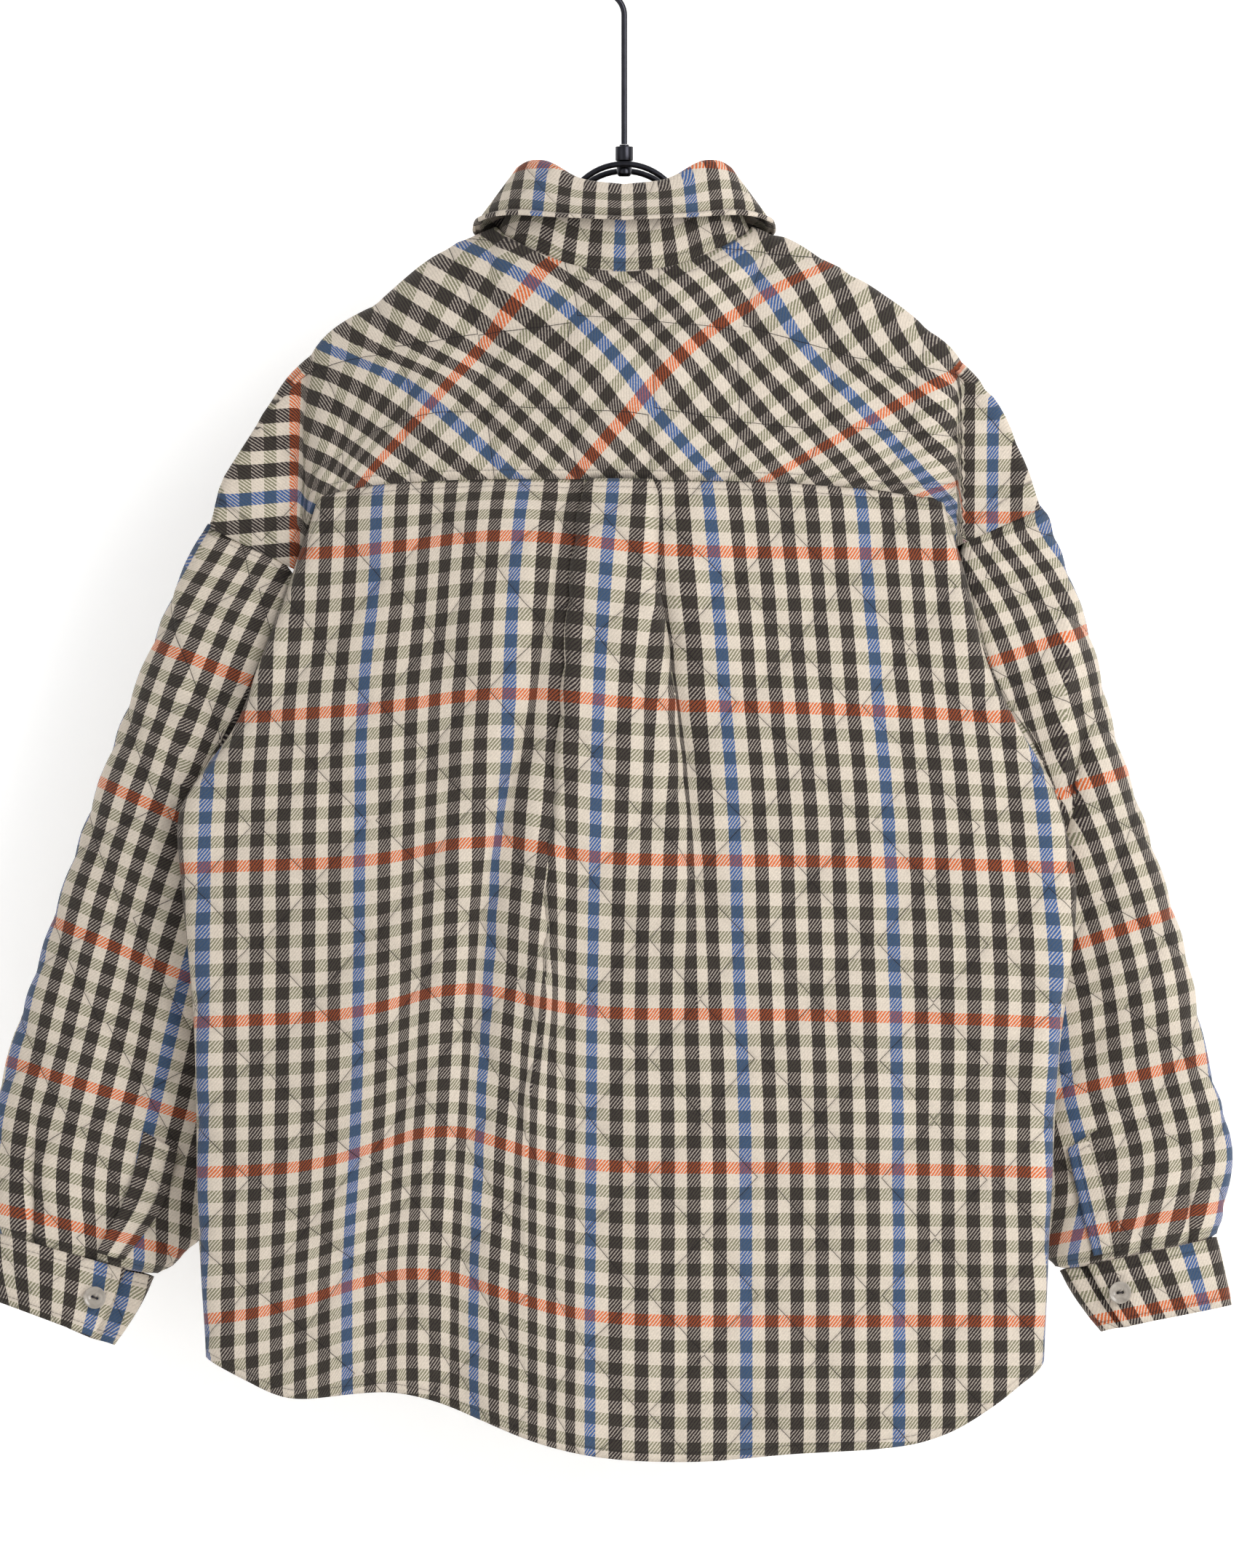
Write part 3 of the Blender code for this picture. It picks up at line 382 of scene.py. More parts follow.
body = {
    # depth, left half width, right half width, bulge of the back, bulge of the front
    "widths": [
        (385, 203, 211, 44, 42), (418, 212, 219, 45, 43), (455, 223, 228, 46, 44), (493, 238, 237, 46, 44),
        (537, 255, 258, 46, 44), (572, 280, 279, 45, 43), (596, 292, 287, 44, 42), (640, 290, 296, 43, 41),
        (690, 285, 293, 42, 40), (750, 281, 285, 40, 38), (860, 279, 279, 38, 36), (950, 274, 275, 36, 34),
        (1030, 272, 273, 35, 33),
    ],
    # distance from the centre, depth of the left shoulder line, of the right one
    "shoulder": [
        (84, 211, 211), (108, 220, 219), (130, 235, 231), (150, 252, 243), (170, 266, 257),
        (190, 279, 271), (205, 294, 283), (220, 308, 298), (235, 330, 314), (250, 356, 337),
        (263, 379, 368), (272, 402, 390), (290, 440, 430),
    ],
    # distance from the centre, depth of the yoke seam, left and right
    "yokeSeam": [(0, 373, 373), (100, 373, 375), (160, 376, 379), (190, 381, 383), (215, 389, 387)],
    # depth, distance of the front's armhole edge from the centre
    "frontArmhole": [(350, 214.4), (430, 214.5), (470, 221), (510, 233), (550, 250), (585, 272), (604, 300)],
    "backHem": [
        (-310, 951), (-278, 954), (-254, 969), (-225, 989), (-203, 997), (-148, 1007), (-113, 1013),
        (-56, 1019), (44, 1020), (108, 1015), (183, 1010), (215, 1001), (243, 984), (269, 963),
        (284, 953), (310, 951),
    ],
    "frontHem": [(0, 986), (110, 981), (170, 972), (215, 964), (250, 956), (284, 952), (310, 951)],
    # where the back is drawn up: depth, middle, width, height
    "lift": [
        (375, -75, 78, 0), (420, -75, 78, 11), (520, -75, 70, 9), (622, -90, 54, 13),
        (723, -104, 56, 17), (825, -119, 62, 24), (926, -137, 80, 31), (1010, -142, 84, 32),
    ],
    "neckHalf": 84.0, "neckBack": 38.0, "neckFront": 42.0, "neckDropBack": 28.0, "neckDropFront": 58.0,
    "neckSide": 211.0, "sideRound": 15.0, "sideReach": 16.0, "yokeLevel": 375.0, "underarm": 604.0,
    "shoulderEnd": 272.0, "seamGap": 0.3,
}


def halfWidth(x, depth):
    return smoothRead(body["widths"], depth, column(x))


def topOf(x):
    across = abs(x)
    if across < body["neckHalf"]:
        rise = 1 - (across / body["neckHalf"]) ** 2
        return body["neckSide"] + body["neckDropBack"] * rise, -body["neckBack"] * math.sqrt(rise)
    return smoothRead(body["shoulder"], across, column(x)), 10 * ease((across - 190) / 80)


def frontTopOf(x):
    across = abs(x)
    if across < body["neckHalf"]:
        rise = 1 - (across / body["neckHalf"]) ** 2
        return body["neckSide"] + body["neckDropFront"] * rise, body["neckFront"] * math.sqrt(rise)
    return topOf(x)


def lift(x, depth):
    middle, width, height = (smoothRead(body["lift"], depth, k) for k in (1, 2, 3))
    return height * math.exp(-(((x - middle) / width) ** 2))


def turnAt(depth):
    return math.radians(mix(55, 86, ease((depth - 390) / 70)))


def reachAt(side, depth):
    return halfWidth(side, depth) - body["sideRound"] + body["sideRound"] * turnAt(depth) - body["seamGap"]


def backSurface(across, depth):
    # inner face of the back with no folds: x, and how far it stands towards the camera
    width, bulge = halfWidth(across, depth), smoothRead(body["widths"], depth, 3)
    flat = width - body["sideRound"]
    if abs(across) <= flat:
        x = abs(across)
        y = body["sideReach"] + (bulge - body["sideReach"]) * math.cos(math.pi / 2 * x / flat)
    else:
        turn = (abs(across) - flat) / body["sideRound"]
        x = flat + body["sideRound"] * math.sin(turn)
        y = body["sideReach"] - body["sideRound"] * (1 - math.cos(turn))
    return math.copysign(x, across), y


def frontSurface(across, depth):
    side = -1 if across < 0 else 1
    level = max(depth, body["yokeLevel"])
    bulge = smoothRead(body["widths"], level, 4)
    opening = 1 - ease((level - 540) / 90)
    edge = 2 * body["sideRound"] - body["sideReach"] + 10 * opening
    flat = mix(halfWidth(across, level) - body["sideRound"], 235, opening)
    if abs(across) <= flat:
        x = abs(across)
        y = edge + (bulge - edge) * math.cos(math.pi / 2 * x / flat)
    else:
        turn = (abs(across) - flat) / body["sideRound"]
        x = flat + body["sideRound"] * math.sin(turn)
        y = edge - body["sideRound"] * (1 - math.cos(turn))
    if depth < body["yokeLevel"]:
        top, topY = frontTopOf(across)
        t = min(max((depth - top) / (body["yokeLevel"] - top), 0), 1)
        y = mix(topY, y, math.sqrt(1 - (1 - t) ** 2))
    return Vector((side * x, y, -depth))


def foldHeight(folds, x, depth):
    # each fold is a path of depth, place, half width and height; a trough has a height below 0
    total = 0.0
    for path in folds:
        if path[0][0] - 30 <= depth <= path[-1][0] + 30:
            place, half, height = (smoothRead(path, depth, k) for k in (1, 2, 3))
            fade = ease((depth - path[0][0] + 30) / 30) * ease((path[-1][0] + 30 - depth) / 30)
            total += height * fade * math.exp(-(((x - place) / half) ** 2))
    return total


# Back: one panel with a box pleat under the yoke

back = {
    # depth, then the x of each blue stripe from left to right
    "stripes": [
        (375, -262, -161, -65, -7, 54, 154, 252), (450, -264, -164, -72, -13, 61, 160, 258),
        (520, -268, -171, -76, -17, 66, 166, 266), (600, -275, -173, -81, -19, 72, 173, 275),
        (700, -276, -174, -86, -21, 75, 177, 283), (800, -276, -176, -92, -22, 79, 179, 279),
        (920, -276, -182, -97, -23, 80, 180, 281),
    ],
    # depth, left and right edges of the pleat, cloth taken up at each
    "pleat": [
        (375, -25, 20, 45, 42), (440, -33, 20.5, 43, 36), (500, -38, 29, 42, 22), (575, -44, 37, 38, 12),
        (650, -50, 44, 28, 4), (728, -53, 48, 20, 0), (804, -62, 50, 12, 0), (880, -64, 52, 5, 0),
        (930, -64, 52, 0, 0),
    ],
    # depth, how far each edge stands out, share of its cloth that is folded under
    "crease": [
        (375, 6, 6, 1, 1), (440, 6, 5.6, 1, 1), (485, 5.8, 3.6, 1, 0.7), (525, 5.4, 0, 1, 0),
        (600, 4.6, 0, 0.9, 0), (680, 2.4, 0, 0.4, 0), (730, 0, 0, 0, 0), (1030, 0, 0, 0, 0),
    ],
    # depth, how far the rows droop at the sides
    "droop": [(375, 2), (422, 2), (525, 10), (625, 5), (727, 6), (828, 4), (930, 1), (1020, 0)],
    # troughs and ridges: depth, place, half width, height
    "folds": [
        [(375, -38, 8, -3), (450, -47, 9, -5.5), (540, -62, 12, -7.5), (640, -88, 14, -9), (730, -98, 15, -9),
         (830, -104, 16, -7), (930, -110, 18, -8), (1020, -114, 20, -8)],
        [(580, -57, 7, 1), (640, -55, 8, 3.5), (720, -55, 9, 4), (820, -57, 10, 2.5), (890, -60, 10, 0.5)],
        [(400, 25, 6, -1), (440, 26, 7, -4), (480, 29, 8, -7), (530, 36, 9, -7), (590, 43, 10, -5),
         (670, 50, 12, -2)],
        [(460, 13, 7, -1), (520, 14, 7, -2.2), (600, 15, 8, -2), (640, 17, 8, -0.5)],
        [(400, -118, 17, -2), (700, -135, 18, -4), (1010, -150, 18, -5)],
        [(400, 190, 30, -1), (700, 198, 30, -2.5), (1010, 205, 30, -4)],
    ],
    "firstOrange": 422.0,
    "overFold": 2.3,        # how far each edge of the pleat hangs over its fold
    "foldStep": 0.6, "foldTop": 2.6,
    "spread": 18.0,         # the cloth that isn't folded under is taken up over this width
    "leftColumns": 62, "pleatColumns": 26, "rightColumns": 62, "rows": 168,
}


def pleatAt(depth):
    left, right, *taken = [smoothRead(back["pleat"], depth, k) for k in range(1, 5)]
    highLeft, highRight, *folded = [smoothRead(back["crease"], depth, k) for k in range(1, 5)]
    hidden = [amount * share for amount, share in zip(taken, folded)]
    eased = [amount * (1 - share) for amount, share in zip(taken, folded)]
    return left, right, highLeft, highRight, hidden, eased


def backWarp(x, depth, zone):
    # the cloth's u across the back, counted from the blue stripe left of the middle
    stripes = [smoothRead(back["stripes"], depth, k) for k in range(1, 8)]
    left, right, _, _, hidden, eased = pleatAt(depth)
    blue = cloth["blueEvery"]
    leftRate = (blue - hidden[0] - eased[0]) / (stripes[3] - stripes[2])
    rightRate = (blue - hidden[1] - eased[1]) / (stripes[4] - stripes[3])
    pastLeft, pastRight = (ease((x - edge + back["spread"] / 2) / back["spread"]) for edge in (left, right))
    if zone == "pleat":
        if x < stripes[3]:
            return (x - stripes[3]) * leftRate - eased[0] * (1 - pastLeft)
        return (x - stripes[3]) * rightRate + eased[1] * pastRight
    if zone == "left":
        if x > stripes[2]:
            return -blue + (x - stripes[2]) * leftRate + eased[0] * pastLeft
        if x < stripes[0]:
            return -3 * blue + (x - stripes[0])
        return smoothRead([(stripes[0], -3 * blue), (stripes[1], -2 * blue), (stripes[2], -blue)], x, 1)
    if x < stripes[4]:
        return blue - (stripes[4] - x) * rightRate - eased[1] * (1 - pastRight)
    if x > stripes[6]:
        return 3 * blue + (x - stripes[6])
    return smoothRead([(stripes[4], blue), (stripes[5], 2 * blue), (stripes[6], 3 * blue)], x, 1)


def backStation(i, depth):
    # across the back, the cloth's u, and how far the pleat lifts it; its edges hang over their folds,
    # in two steps close together so that they stay crisp
    left, right, highLeft, highRight, hidden, _ = pleatAt(depth)
    n, m, r = back["leftColumns"], back["pleatColumns"], back["rightColumns"]
    step, foldTop = back["foldStep"], back["foldTop"]
    overLeft, overRight = (back["overFold"] * min(high / 3, 1) for high in (highLeft, highRight))
    if i <= n:
        across = mix(-reachAt(-1, depth), left + overLeft - 2 * step, i / n)
        return across, backWarp(across, depth, "left"), 0.0
    i -= n
    if i == 1:
        across = left + overLeft - step + 0.45 * highLeft
        return across, backWarp(left, depth, "left") + hidden[0] * 0.5, -0.1 * highLeft
    if i == 2:
        across = left + overLeft + step - 0.1 * highLeft
        return across, backWarp(across - overLeft, depth, "pleat"), highLeft * 0.75
    i -= 3
    if i <= m:
        across = mix(left + overLeft + foldTop, right - overRight - foldTop, i / m)
        return across, backWarp(across, depth, "pleat"), mix(highLeft, highRight, i / m)
    i -= m
    if i == 1:
        across = right - overRight - step + 0.1 * highRight
        return across, backWarp(across + overRight, depth, "pleat"), highRight * 0.75
    if i == 2:
        across = right - overRight + step - 0.45 * highRight
        return across, backWarp(right, depth, "right") - hidden[1] * 0.5, -0.1 * highRight
    across = mix(right - overRight + 2 * step, reachAt(1, depth), (i - 3) / r)
    return across, backWarp(across, depth, "right"), 0.0


def backPlace(i, j):
    down = 1 - j / back["rows"]
    first = backStation(i, 385)[0]
    start = smoothRead(body["yokeSeam"], abs(first), column(first)) + body["seamGap"]
    end = smoothRead(body["backHem"], backStation(i, 990)[0], 1)
    depth = mix(start, end, down)
    across, u, raised = backStation(i, depth)
    x, y = backSurface(across, depth)
    fade = ease((depth - 372) / 16)
    y += raised + foldHeight(back["folds"], across, depth) * fade
    droop = smoothRead(back["droop"], depth, 1) * (max(abs(across) - 20, 0) / 260) ** 2
    edge = min(depth - start, end - depth, reachAt(across, depth) - abs(across))
    point = Vector((x, -y, lift(across, depth) - depth))
    if j == back["rows"]:
        return point, u, depth - droop - back["firstOrange"], 0.0, 1.2      # under the yoke's edge
    return point, u, depth - droop - back["firstOrange"], max(edge, 0)


backColumns = back["leftColumns"] + back["pleatColumns"] + back["rightColumns"] + 6
sewCloth("backPanel", "cloth", "back", backColumns, back["rows"], backPlace, quilt=(0, back["firstOrange"]))
print("back panel and box pleat")


# Yoke: one bias-cut panel over both shoulders

yoke = {
    # place on the shoulder line, then on the seam at the back, and its depth there; left and right
    "ends": [(195, 195, 195), (233, 201.5, 205), (249, 209, 211), (262, 213.5, 215.5), (272, 217, 219)],
    "endDepths": [(195, 383, 385), (233, 389, 387), (249, 408, 398), (262, 421, 408), (272, 431, 416)],
    "shoulderPoint": 195.0,     # past it the yoke falls over the sleeve's head
    "sleeveSeam": 430.0,
    "overSeam": 0.9,
    "reachOn": 1.3,
    "frontDrop": 42.0, "frontCorner": 214.5, "frontWrap": 236.0,
    # where each blue stripe crosses: depth, x
    "blueFirst": [(219, -108), (232, -80), (247, -55), (262, -36), (280, -17), (302, 2), (325, 17),
                  (348, 36), (371, 56), (430, 110)],
    "blueSecond": [(222, 70), (239, 84), (253, 95), (275, 109), (298, 127), (320, 149), (383, 206),
                   (430, 246)],
    "blueThird": [(230, -262), (284, -200), (310, -143), (370, -73), (430, -8)],
    # and each orange row
    "orangeFirst": [(219, -26), (231, -47), (257, -69), (288, -94), (314, -118), (374, -174), (430, -222)],
    "orangeSecond": [(219, 157), (233, 135), (244, 109), (261, 78), (282, 47), (306, 22), (318, 12),
                     (374, -34), (430, -80)],
    "orangeThird": [(219, 350), (297, 227), (340, 152), (374, 93), (430, 0)],
    # where the cloth turns with the sleeve's threads, and the width over which it does on the right
    "leftFold": -217.0, "rightFold": 219.0, "turnWidth": 4.0,
    # past those: where a blue and an orange line run, and the cloth in each mm down and across
    "leftBlue": 383.0, "leftDown": 0.965, "leftAcross": 1.02,
    "rightBlue": 243.0, "rightOrange": 398.0, "rightDown": 0.985, "rightAcross": 1.08,
    "columns": 136, "rows": 32, "frontRows": 14,
}


def stripeAt(name, depth):
    path = yoke[name]
    if depth < path[0][0]:
        return lineRead(path[:2], depth)
    return smoothRead(path, depth, 1)


def yokeGrain(x, depth):
    # the cloth's own place at a point of the yoke, seen flat
    blue, orange = cloth["blueEvery"], cloth["orangeEvery"]
    leftFold, rightFold = yoke["leftFold"], yoke["rightFold"]
    first, second, third = (stripeAt(name, depth) for name in ("blueFirst", "blueSecond", "blueThird"))
    leftU = -2 * blue + yoke["leftDown"] * (yoke["leftBlue"] + (-215 - min(x, -215)) * 0.09 - depth)
    if x <= leftFold:
        return leftU, -orange + (x - leftFold) * yoke["leftAcross"]
    rightV = 3 * orange + (depth - yoke["rightOrange"]) * yoke["rightDown"]
    if x >= rightFold + yoke["turnWidth"]:
        return 2 * blue + (x - yoke["rightBlue"]) * yoke["rightAcross"], rightV
    knotsU = [(leftFold, leftU)]
    if third > leftFold + 20:
        knotsU.append((third, -blue))
    knotsU += [(first, 0), (second, blue)]
    oranges = [stripeAt(name, depth) for name in ("orangeFirst", "orangeSecond", "orangeThird")]
    knotsV = [(leftFold, -orange)]
    if oranges[0] > leftFold + 20:
        knotsV.append((oranges[0], 0))
    knotsV += [(oranges[1], orange), (oranges[2], 2 * orange)]
    if x > rightFold:
        share = (x - rightFold) / yoke["turnWidth"]
        last = blue + (rightFold - second) * 0.73
        turned = 2 * blue + (rightFold + yoke["turnWidth"] - yoke["rightBlue"]) * yoke["rightAcross"]
        return mix(last, turned, share), mix(lineRead(knotsV, rightFold), rightV, share)
    # the knots are rounded off by reading beside the point too
    return tuple(sum(lineRead(knots, x + off) for off in (-8, 0, 8)) / 3 for knots in (knotsU, knotsV))


def yokeSurface(x, depth):
    seamDepth = smoothRead(body["yokeSeam"], abs(x), column(x))
    width = halfWidth(x, seamDepth)
    turn = body["sideRound"] * math.sin(turnAt(385))
    flat = width - body["sideRound"]
    if abs(x) <= flat:
        base = -backSurface(x, seamDepth)[1]
    elif abs(x) <= flat + turn:
        rim = math.sqrt(body["sideRound"]**2 - (abs(x) - flat) ** 2)
        base = -(body["sideReach"] - body["sideRound"] + rim)
    else:
        base = mix(-9.0, 6.0, ease((abs(x) - flat - turn) / 9))
    top, topY = topOf(x)
    t = min(max((depth - top) / (seamDepth - top), 0), 1)
    return Vector((x, mix(topY, base, math.sqrt(1 - (1 - t) ** 2)), -depth))


def yokeBackEnd(xTop):
    across, side = abs(xTop), column(xTop)
    if across <= yoke["shoulderPoint"]:
        return xTop, smoothRead(body["yokeSeam"], across, side) + yoke["overSeam"]
    reach = smoothRead(yoke["ends"], across, side)
    return math.copysign(reach, xTop), smoothRead(yoke["endDepths"], across, side)


def frontSeam(across):
    if abs(across) > body["neckHalf"]:
        return frontTopOf(across)[0] + yoke["frontDrop"]
    return body["neckSide"] + yoke["frontDrop"] - (body["neckHalf"] - abs(across)) * 0.55


def yokeFrontRib(side, xTop, share):
    # from the shoulder line down to the seam on the front
    top, topY = topOf(side * xTop)
    corner = frontSeam(side * yoke["frontCorner"]) - body["seamGap"]
    if xTop <= yoke["shoulderPoint"]:
        xEnd, seam = xTop, frontSeam(side * xTop) - body["seamGap"]
    else:
        xEnd = smoothRead([(195, 195), (233, 215.5), (272, 215.5)], xTop, 1)
        fallen = smoothRead([(233, 0), (249, 0.33), (262, 0.66), (272, 1)], xTop, 1)
        seam = mix(corner, yoke["sleeveSeam"], fallen)
    amount = 1 - math.cos(math.pi / 2 * share)
    x, depth = mix(xTop, xEnd, amount), mix(top, seam, amount)
    point = frontSurface(side * min(x, yoke["frontWrap"]), depth)
    point.x = side * x
    # past the armhole the front falls from the shoulder line in one soft curve
    curved = mix(topY, point.y, math.sqrt(1 - (1 - share) ** 2))
    point.y = mix(point.y, curved, ease((xTop - yoke["shoulderPoint"]) / 40))
    return point, depth - top, seam - depth


def yokePlace(i, j):
    if i in (0, yoke["columns"]):
        near, far = (yokePlace(abs(i - k), j) for k in (1.001, 2))      # reaches on over the sleeve's head
        on = yoke["reachOn"]
        return *(a * (1 + on) - b * on for a, b in zip(near[:3], far[:3])), 0.0
    xTop = mix(-body["shoulderEnd"], body["shoulderEnd"], i / yoke["columns"])
    side = -1 if xTop < 0 else 1
    top, _ = topOf(xTop)
    end = body["shoulderEnd"] - abs(xTop)
    if j <= yoke["rows"]:
        xBack, backDepth = yokeBackEnd(xTop)
        amount = 1 - math.cos(math.pi / 2 * (1 - j / yoke["rows"]))
        x, depth = mix(xTop, xBack, amount), mix(top, backDepth, amount)
        point = yokeSurface(x, depth)
        u, v = yokeGrain(x, depth)
        edge = min(abs(backDepth - depth), end)
        if abs(xTop) < body["neckHalf"]:
            edge = min(edge, depth - top)
        return point, u, v, edge
    if abs(xTop) < body["neckHalf"] - 1:
        return None
    share = (j - yoke["rows"]) / yoke["frontRows"]
    fromNeck = (abs(xTop) - body["neckHalf"]) / 16
    point, fallen, left = yokeFrontRib(side, abs(xTop), share)
    if fromNeck < 1:
        x = body["neckHalf"] * math.sin(math.radians(90 + 43.4 * share))
        depth, y = frontTopOf(side * x)
        point = Vector((side * x, y, -depth)).lerp(point, fromNeck)
    u, v = yokeGrain(point.x, top - fallen * 1.1)
    return point, u, v, min(left, end, abs(xTop) - body["neckHalf"])


sewCloth("yokePanel", "yoke", "yoke", yoke["columns"], yoke["rows"] + yoke["frontRows"], yokePlace,
         quilt=(-40, 20))
print("yoke")


# Fronts, plain, hidden from the camera

front = {"columns": 74, "rows": 170, "overlap": 17.0, "neckEnd": 61.0}


def frontOuter(side, depth):
    # how far from the centre the front reaches at a depth: the armhole, then the side seam
    if depth < body["underarm"]:
        return min(smoothRead(body["frontArmhole"], depth, 1), reachAt(side, depth))
    return mix(300, reachAt(side, depth), ease((depth - body["underarm"]) / 20))


def makeFront(side, name, node):
    inner = -front["overlap"]

    def place(i, j):
        share = i / front["columns"]
        down = 1 - j / front["rows"]
        topAcross = mix(inner, yoke["frontCorner"], share)
        if abs(topAcross) < front["neckEnd"]:
            start = frontTopOf(side * topAcross)[0] + body["seamGap"]
        else:
            start = frontSeam(side * topAcross) + body["seamGap"]
        end = smoothRead(body["frontHem"], mix(inner, reachAt(side, 952), share), 1)
        depth = mix(start, end, down)
        outer = frontOuter(side, max(depth, 350))
        across = mix(inner, outer, share)
        point = frontSurface(side * across, depth)
        if side < 0:
            point.y -= 9 * ease((45 - across) / 25)    # the buttonless front lies under the other
        edge = min(depth - start, end - depth, outer - across)
        return point, -side * across, depth - back["firstOrange"], max(edge, 0)

    sewCloth(name, "cloth", node, front["columns"], front["rows"], place, quilt=(0, back["firstOrange"]),
             flip=side > 0)


makeFront(-1, "frontPanelLeft", "front_left")
makeFront(1, "frontPanelRight", "front_right")
print("fronts")


# Sleeves: flat oval tubes from the armhole to the cuff

sleeves = {
    # outer edge x, depth, inner edge x, depth, middle y, half thickness
    "left": {
        "rings": [
            (293, 446, 290, 614, 27, 17), (311, 489, 287, 652, 37, 22), (333, 545, 273, 700, 43, 26),
            (357, 612, 265, 745, 48, 27), (380, 680, 263, 790, 50, 26), (403, 752, 268, 830, 50, 25),
            (418, 812, 278, 864, 50, 22), (419, 868, 311, 897, 50, 17),
        ],
        # each orange row: the cloth's v, x and depth of a point on it, how much it falls for each mm of x
        "oranges": [(0, -307, 483, 0.373), (101, -340, 575, 0.46), (202, -371, 668, 0.412),
                    (303, -400, 760.6, 0.296), (404, -412, 855, 0.24)],
        # depth, the cloth's u at the outer edge
        "grain": [(446, 2), (640, 0), (745, -7), (868, -11)],
        # troughs: depth, place, half width, height
        "folds": [
            [(780, -388, 7, -1), (822, -390, 5, -7), (862, -391, 4, -9), (885, -391, 4, -9)],
            [(640, -330, 20, -1), (700, -322, 16, -4), (770, -318, 14, -2)],
            [(840, -352, 8, -1), (870, -350, 7, -3), (890, -349, 6, -4)],
            [(470, -262, 16, -1), (540, -272, 20, -5), (610, -276, 16, -3)],
        ],
    },
    "right": {
        "rings": [
            (290, 436, 288, 614, 28, 16), (306, 482, 292, 652, 41, 20), (322, 545, 274, 700, 43, 26),
            (348, 622, 266, 745, 48, 27), (369, 690, 264, 790, 50, 26), (382, 755, 267, 830, 50, 25),
            (398, 815, 274, 864, 50, 22), (391, 872, 288, 893, 50, 17),
        ],
        "oranges": [(0, 305, 472, -0.337), (101, 332.5, 565, -0.335), (202, 359, 660.5, -0.32),
                    (303, 385.7, 756, -0.235), (404, 391.5, 853.5, -0.2)],
        "grain": [(436, 1), (545, 5), (660, 6), (756, 0), (868, -7)],
        "folds": [
            [(815, 376, 6, -1), (850, 374, 5, -6), (885, 373, 4, -8)],
            [(830, 345, 7, -1), (864, 343, 5, -3), (890, 342, 5, -4)],
            [(640, 318, 18, -1), (700, 314, 16, -3), (770, 312, 12, -1)],
            [(470, 262, 14, -1), (540, 268, 18, -5), (610, 274, 14, -3)],
        ],
    },
    "edgeTurn": 12.0,       # cloth that turns round the outer edge
    "frontFolds": 0.6,      # height of the folds on the hidden side, as a share of the others
    "columns": 96, "rows": 114, "loop": 20, "tuck": 4.5,
}


def rounded(value):
    return math.copysign(abs(value) ** 0.8, value)


def ringPoint(ring, angle, side):
    # angle 0 is the outer edge, and the back half comes first
    outer = Vector((ring[0], 0, -ring[1]))
    inner = Vector((ring[2], 0, -ring[3]))
    point = inner.lerp(outer, (1 + rounded(math.cos(angle))) / 2)
    point.y = ring[4] - ring[5] * rounded(math.sin(angle))
    point.x *= side
    return point


def evenly(points, count):
    lengths = [0.0]
    for a, b in zip(points[:-1], points[1:]):
        lengths.append(lengths[-1] + (b - a).length)
    made = []
    for k in range(count):
        at = lengths[-1] * k / count
        i = max(j for j in range(len(points) - 1) if lengths[j] <= at + 1e-9)
        made.append(points[i].lerp(points[i + 1], (at - lengths[i]) / (lengths[i + 1] - lengths[i])))
    return made


def armholeLoop(side):
    end = body["shoulderEnd"]
    topDepth, _ = topOf(side * end)
    low = smoothRead(yoke["endDepths"], end, column(side))
    behind = [Vector((side * (end + 1), 10, -topDepth - 1))]
    last = halfWidth(side, low) - 1
    behind.append(Vector((side * (mix(end, last, 0.5) + 1), 7, -mix(topDepth, low, 0.5) - 4)))
    behind.append(Vector((side * last, 6, -low - 2)))
    for depth in (445, 475, 505, 540, 575):
        behind.append(Vector((side * (halfWidth(side, depth) + 1), 3, -depth)))
    under = Vector((side * (halfWidth(side, body["underarm"]) - 1), 6, 4 - body["underarm"]))
    fore = []
    for depth in (585, 550, 510, 470, 432):
        point = frontSurface(side * smoothRead(body["frontArmhole"], depth, 1), depth)
        fore.append(Vector((point.x + side * 4.5, point.y + 4.5, -depth)))
    fore.append(Vector((side * 246, 22, -mix(topDepth, 431, 0.5) - 3)))
    half = sleeves["loop"] // 2
    return evenly(behind + [under], half) + evenly([under] + fore + [behind[0]], half)


def sleevePoint(facts, loop, side, turn, along):
    # turn goes from 0 at the outer edge once round, along from 0 at the armhole to 8 at the cuff
    angle = 2 * math.pi * turn
    rings = facts["rings"]
    if along < 1:
        place = (turn % 1) * sleeves["loop"]
        k = int(place)
        start = loop[k].lerp(loop[(k + 1) % sleeves["loop"]], place - k)
        return start.lerp(ringPoint(rings[0], angle, side), along)
    table = [(k + 1, *ring) for k, ring in enumerate(rings)]
    return ringPoint([smoothRead(table, along, k) for k in range(1, 7)], angle, side)


def sleeveDown(facts, point):
    # the cloth's v, from the orange rows above and below
    knots = [(depth + fall * (point.x - x), v) for v, x, depth, fall in facts["oranges"]]
    return lineRead(knots, -point.z)


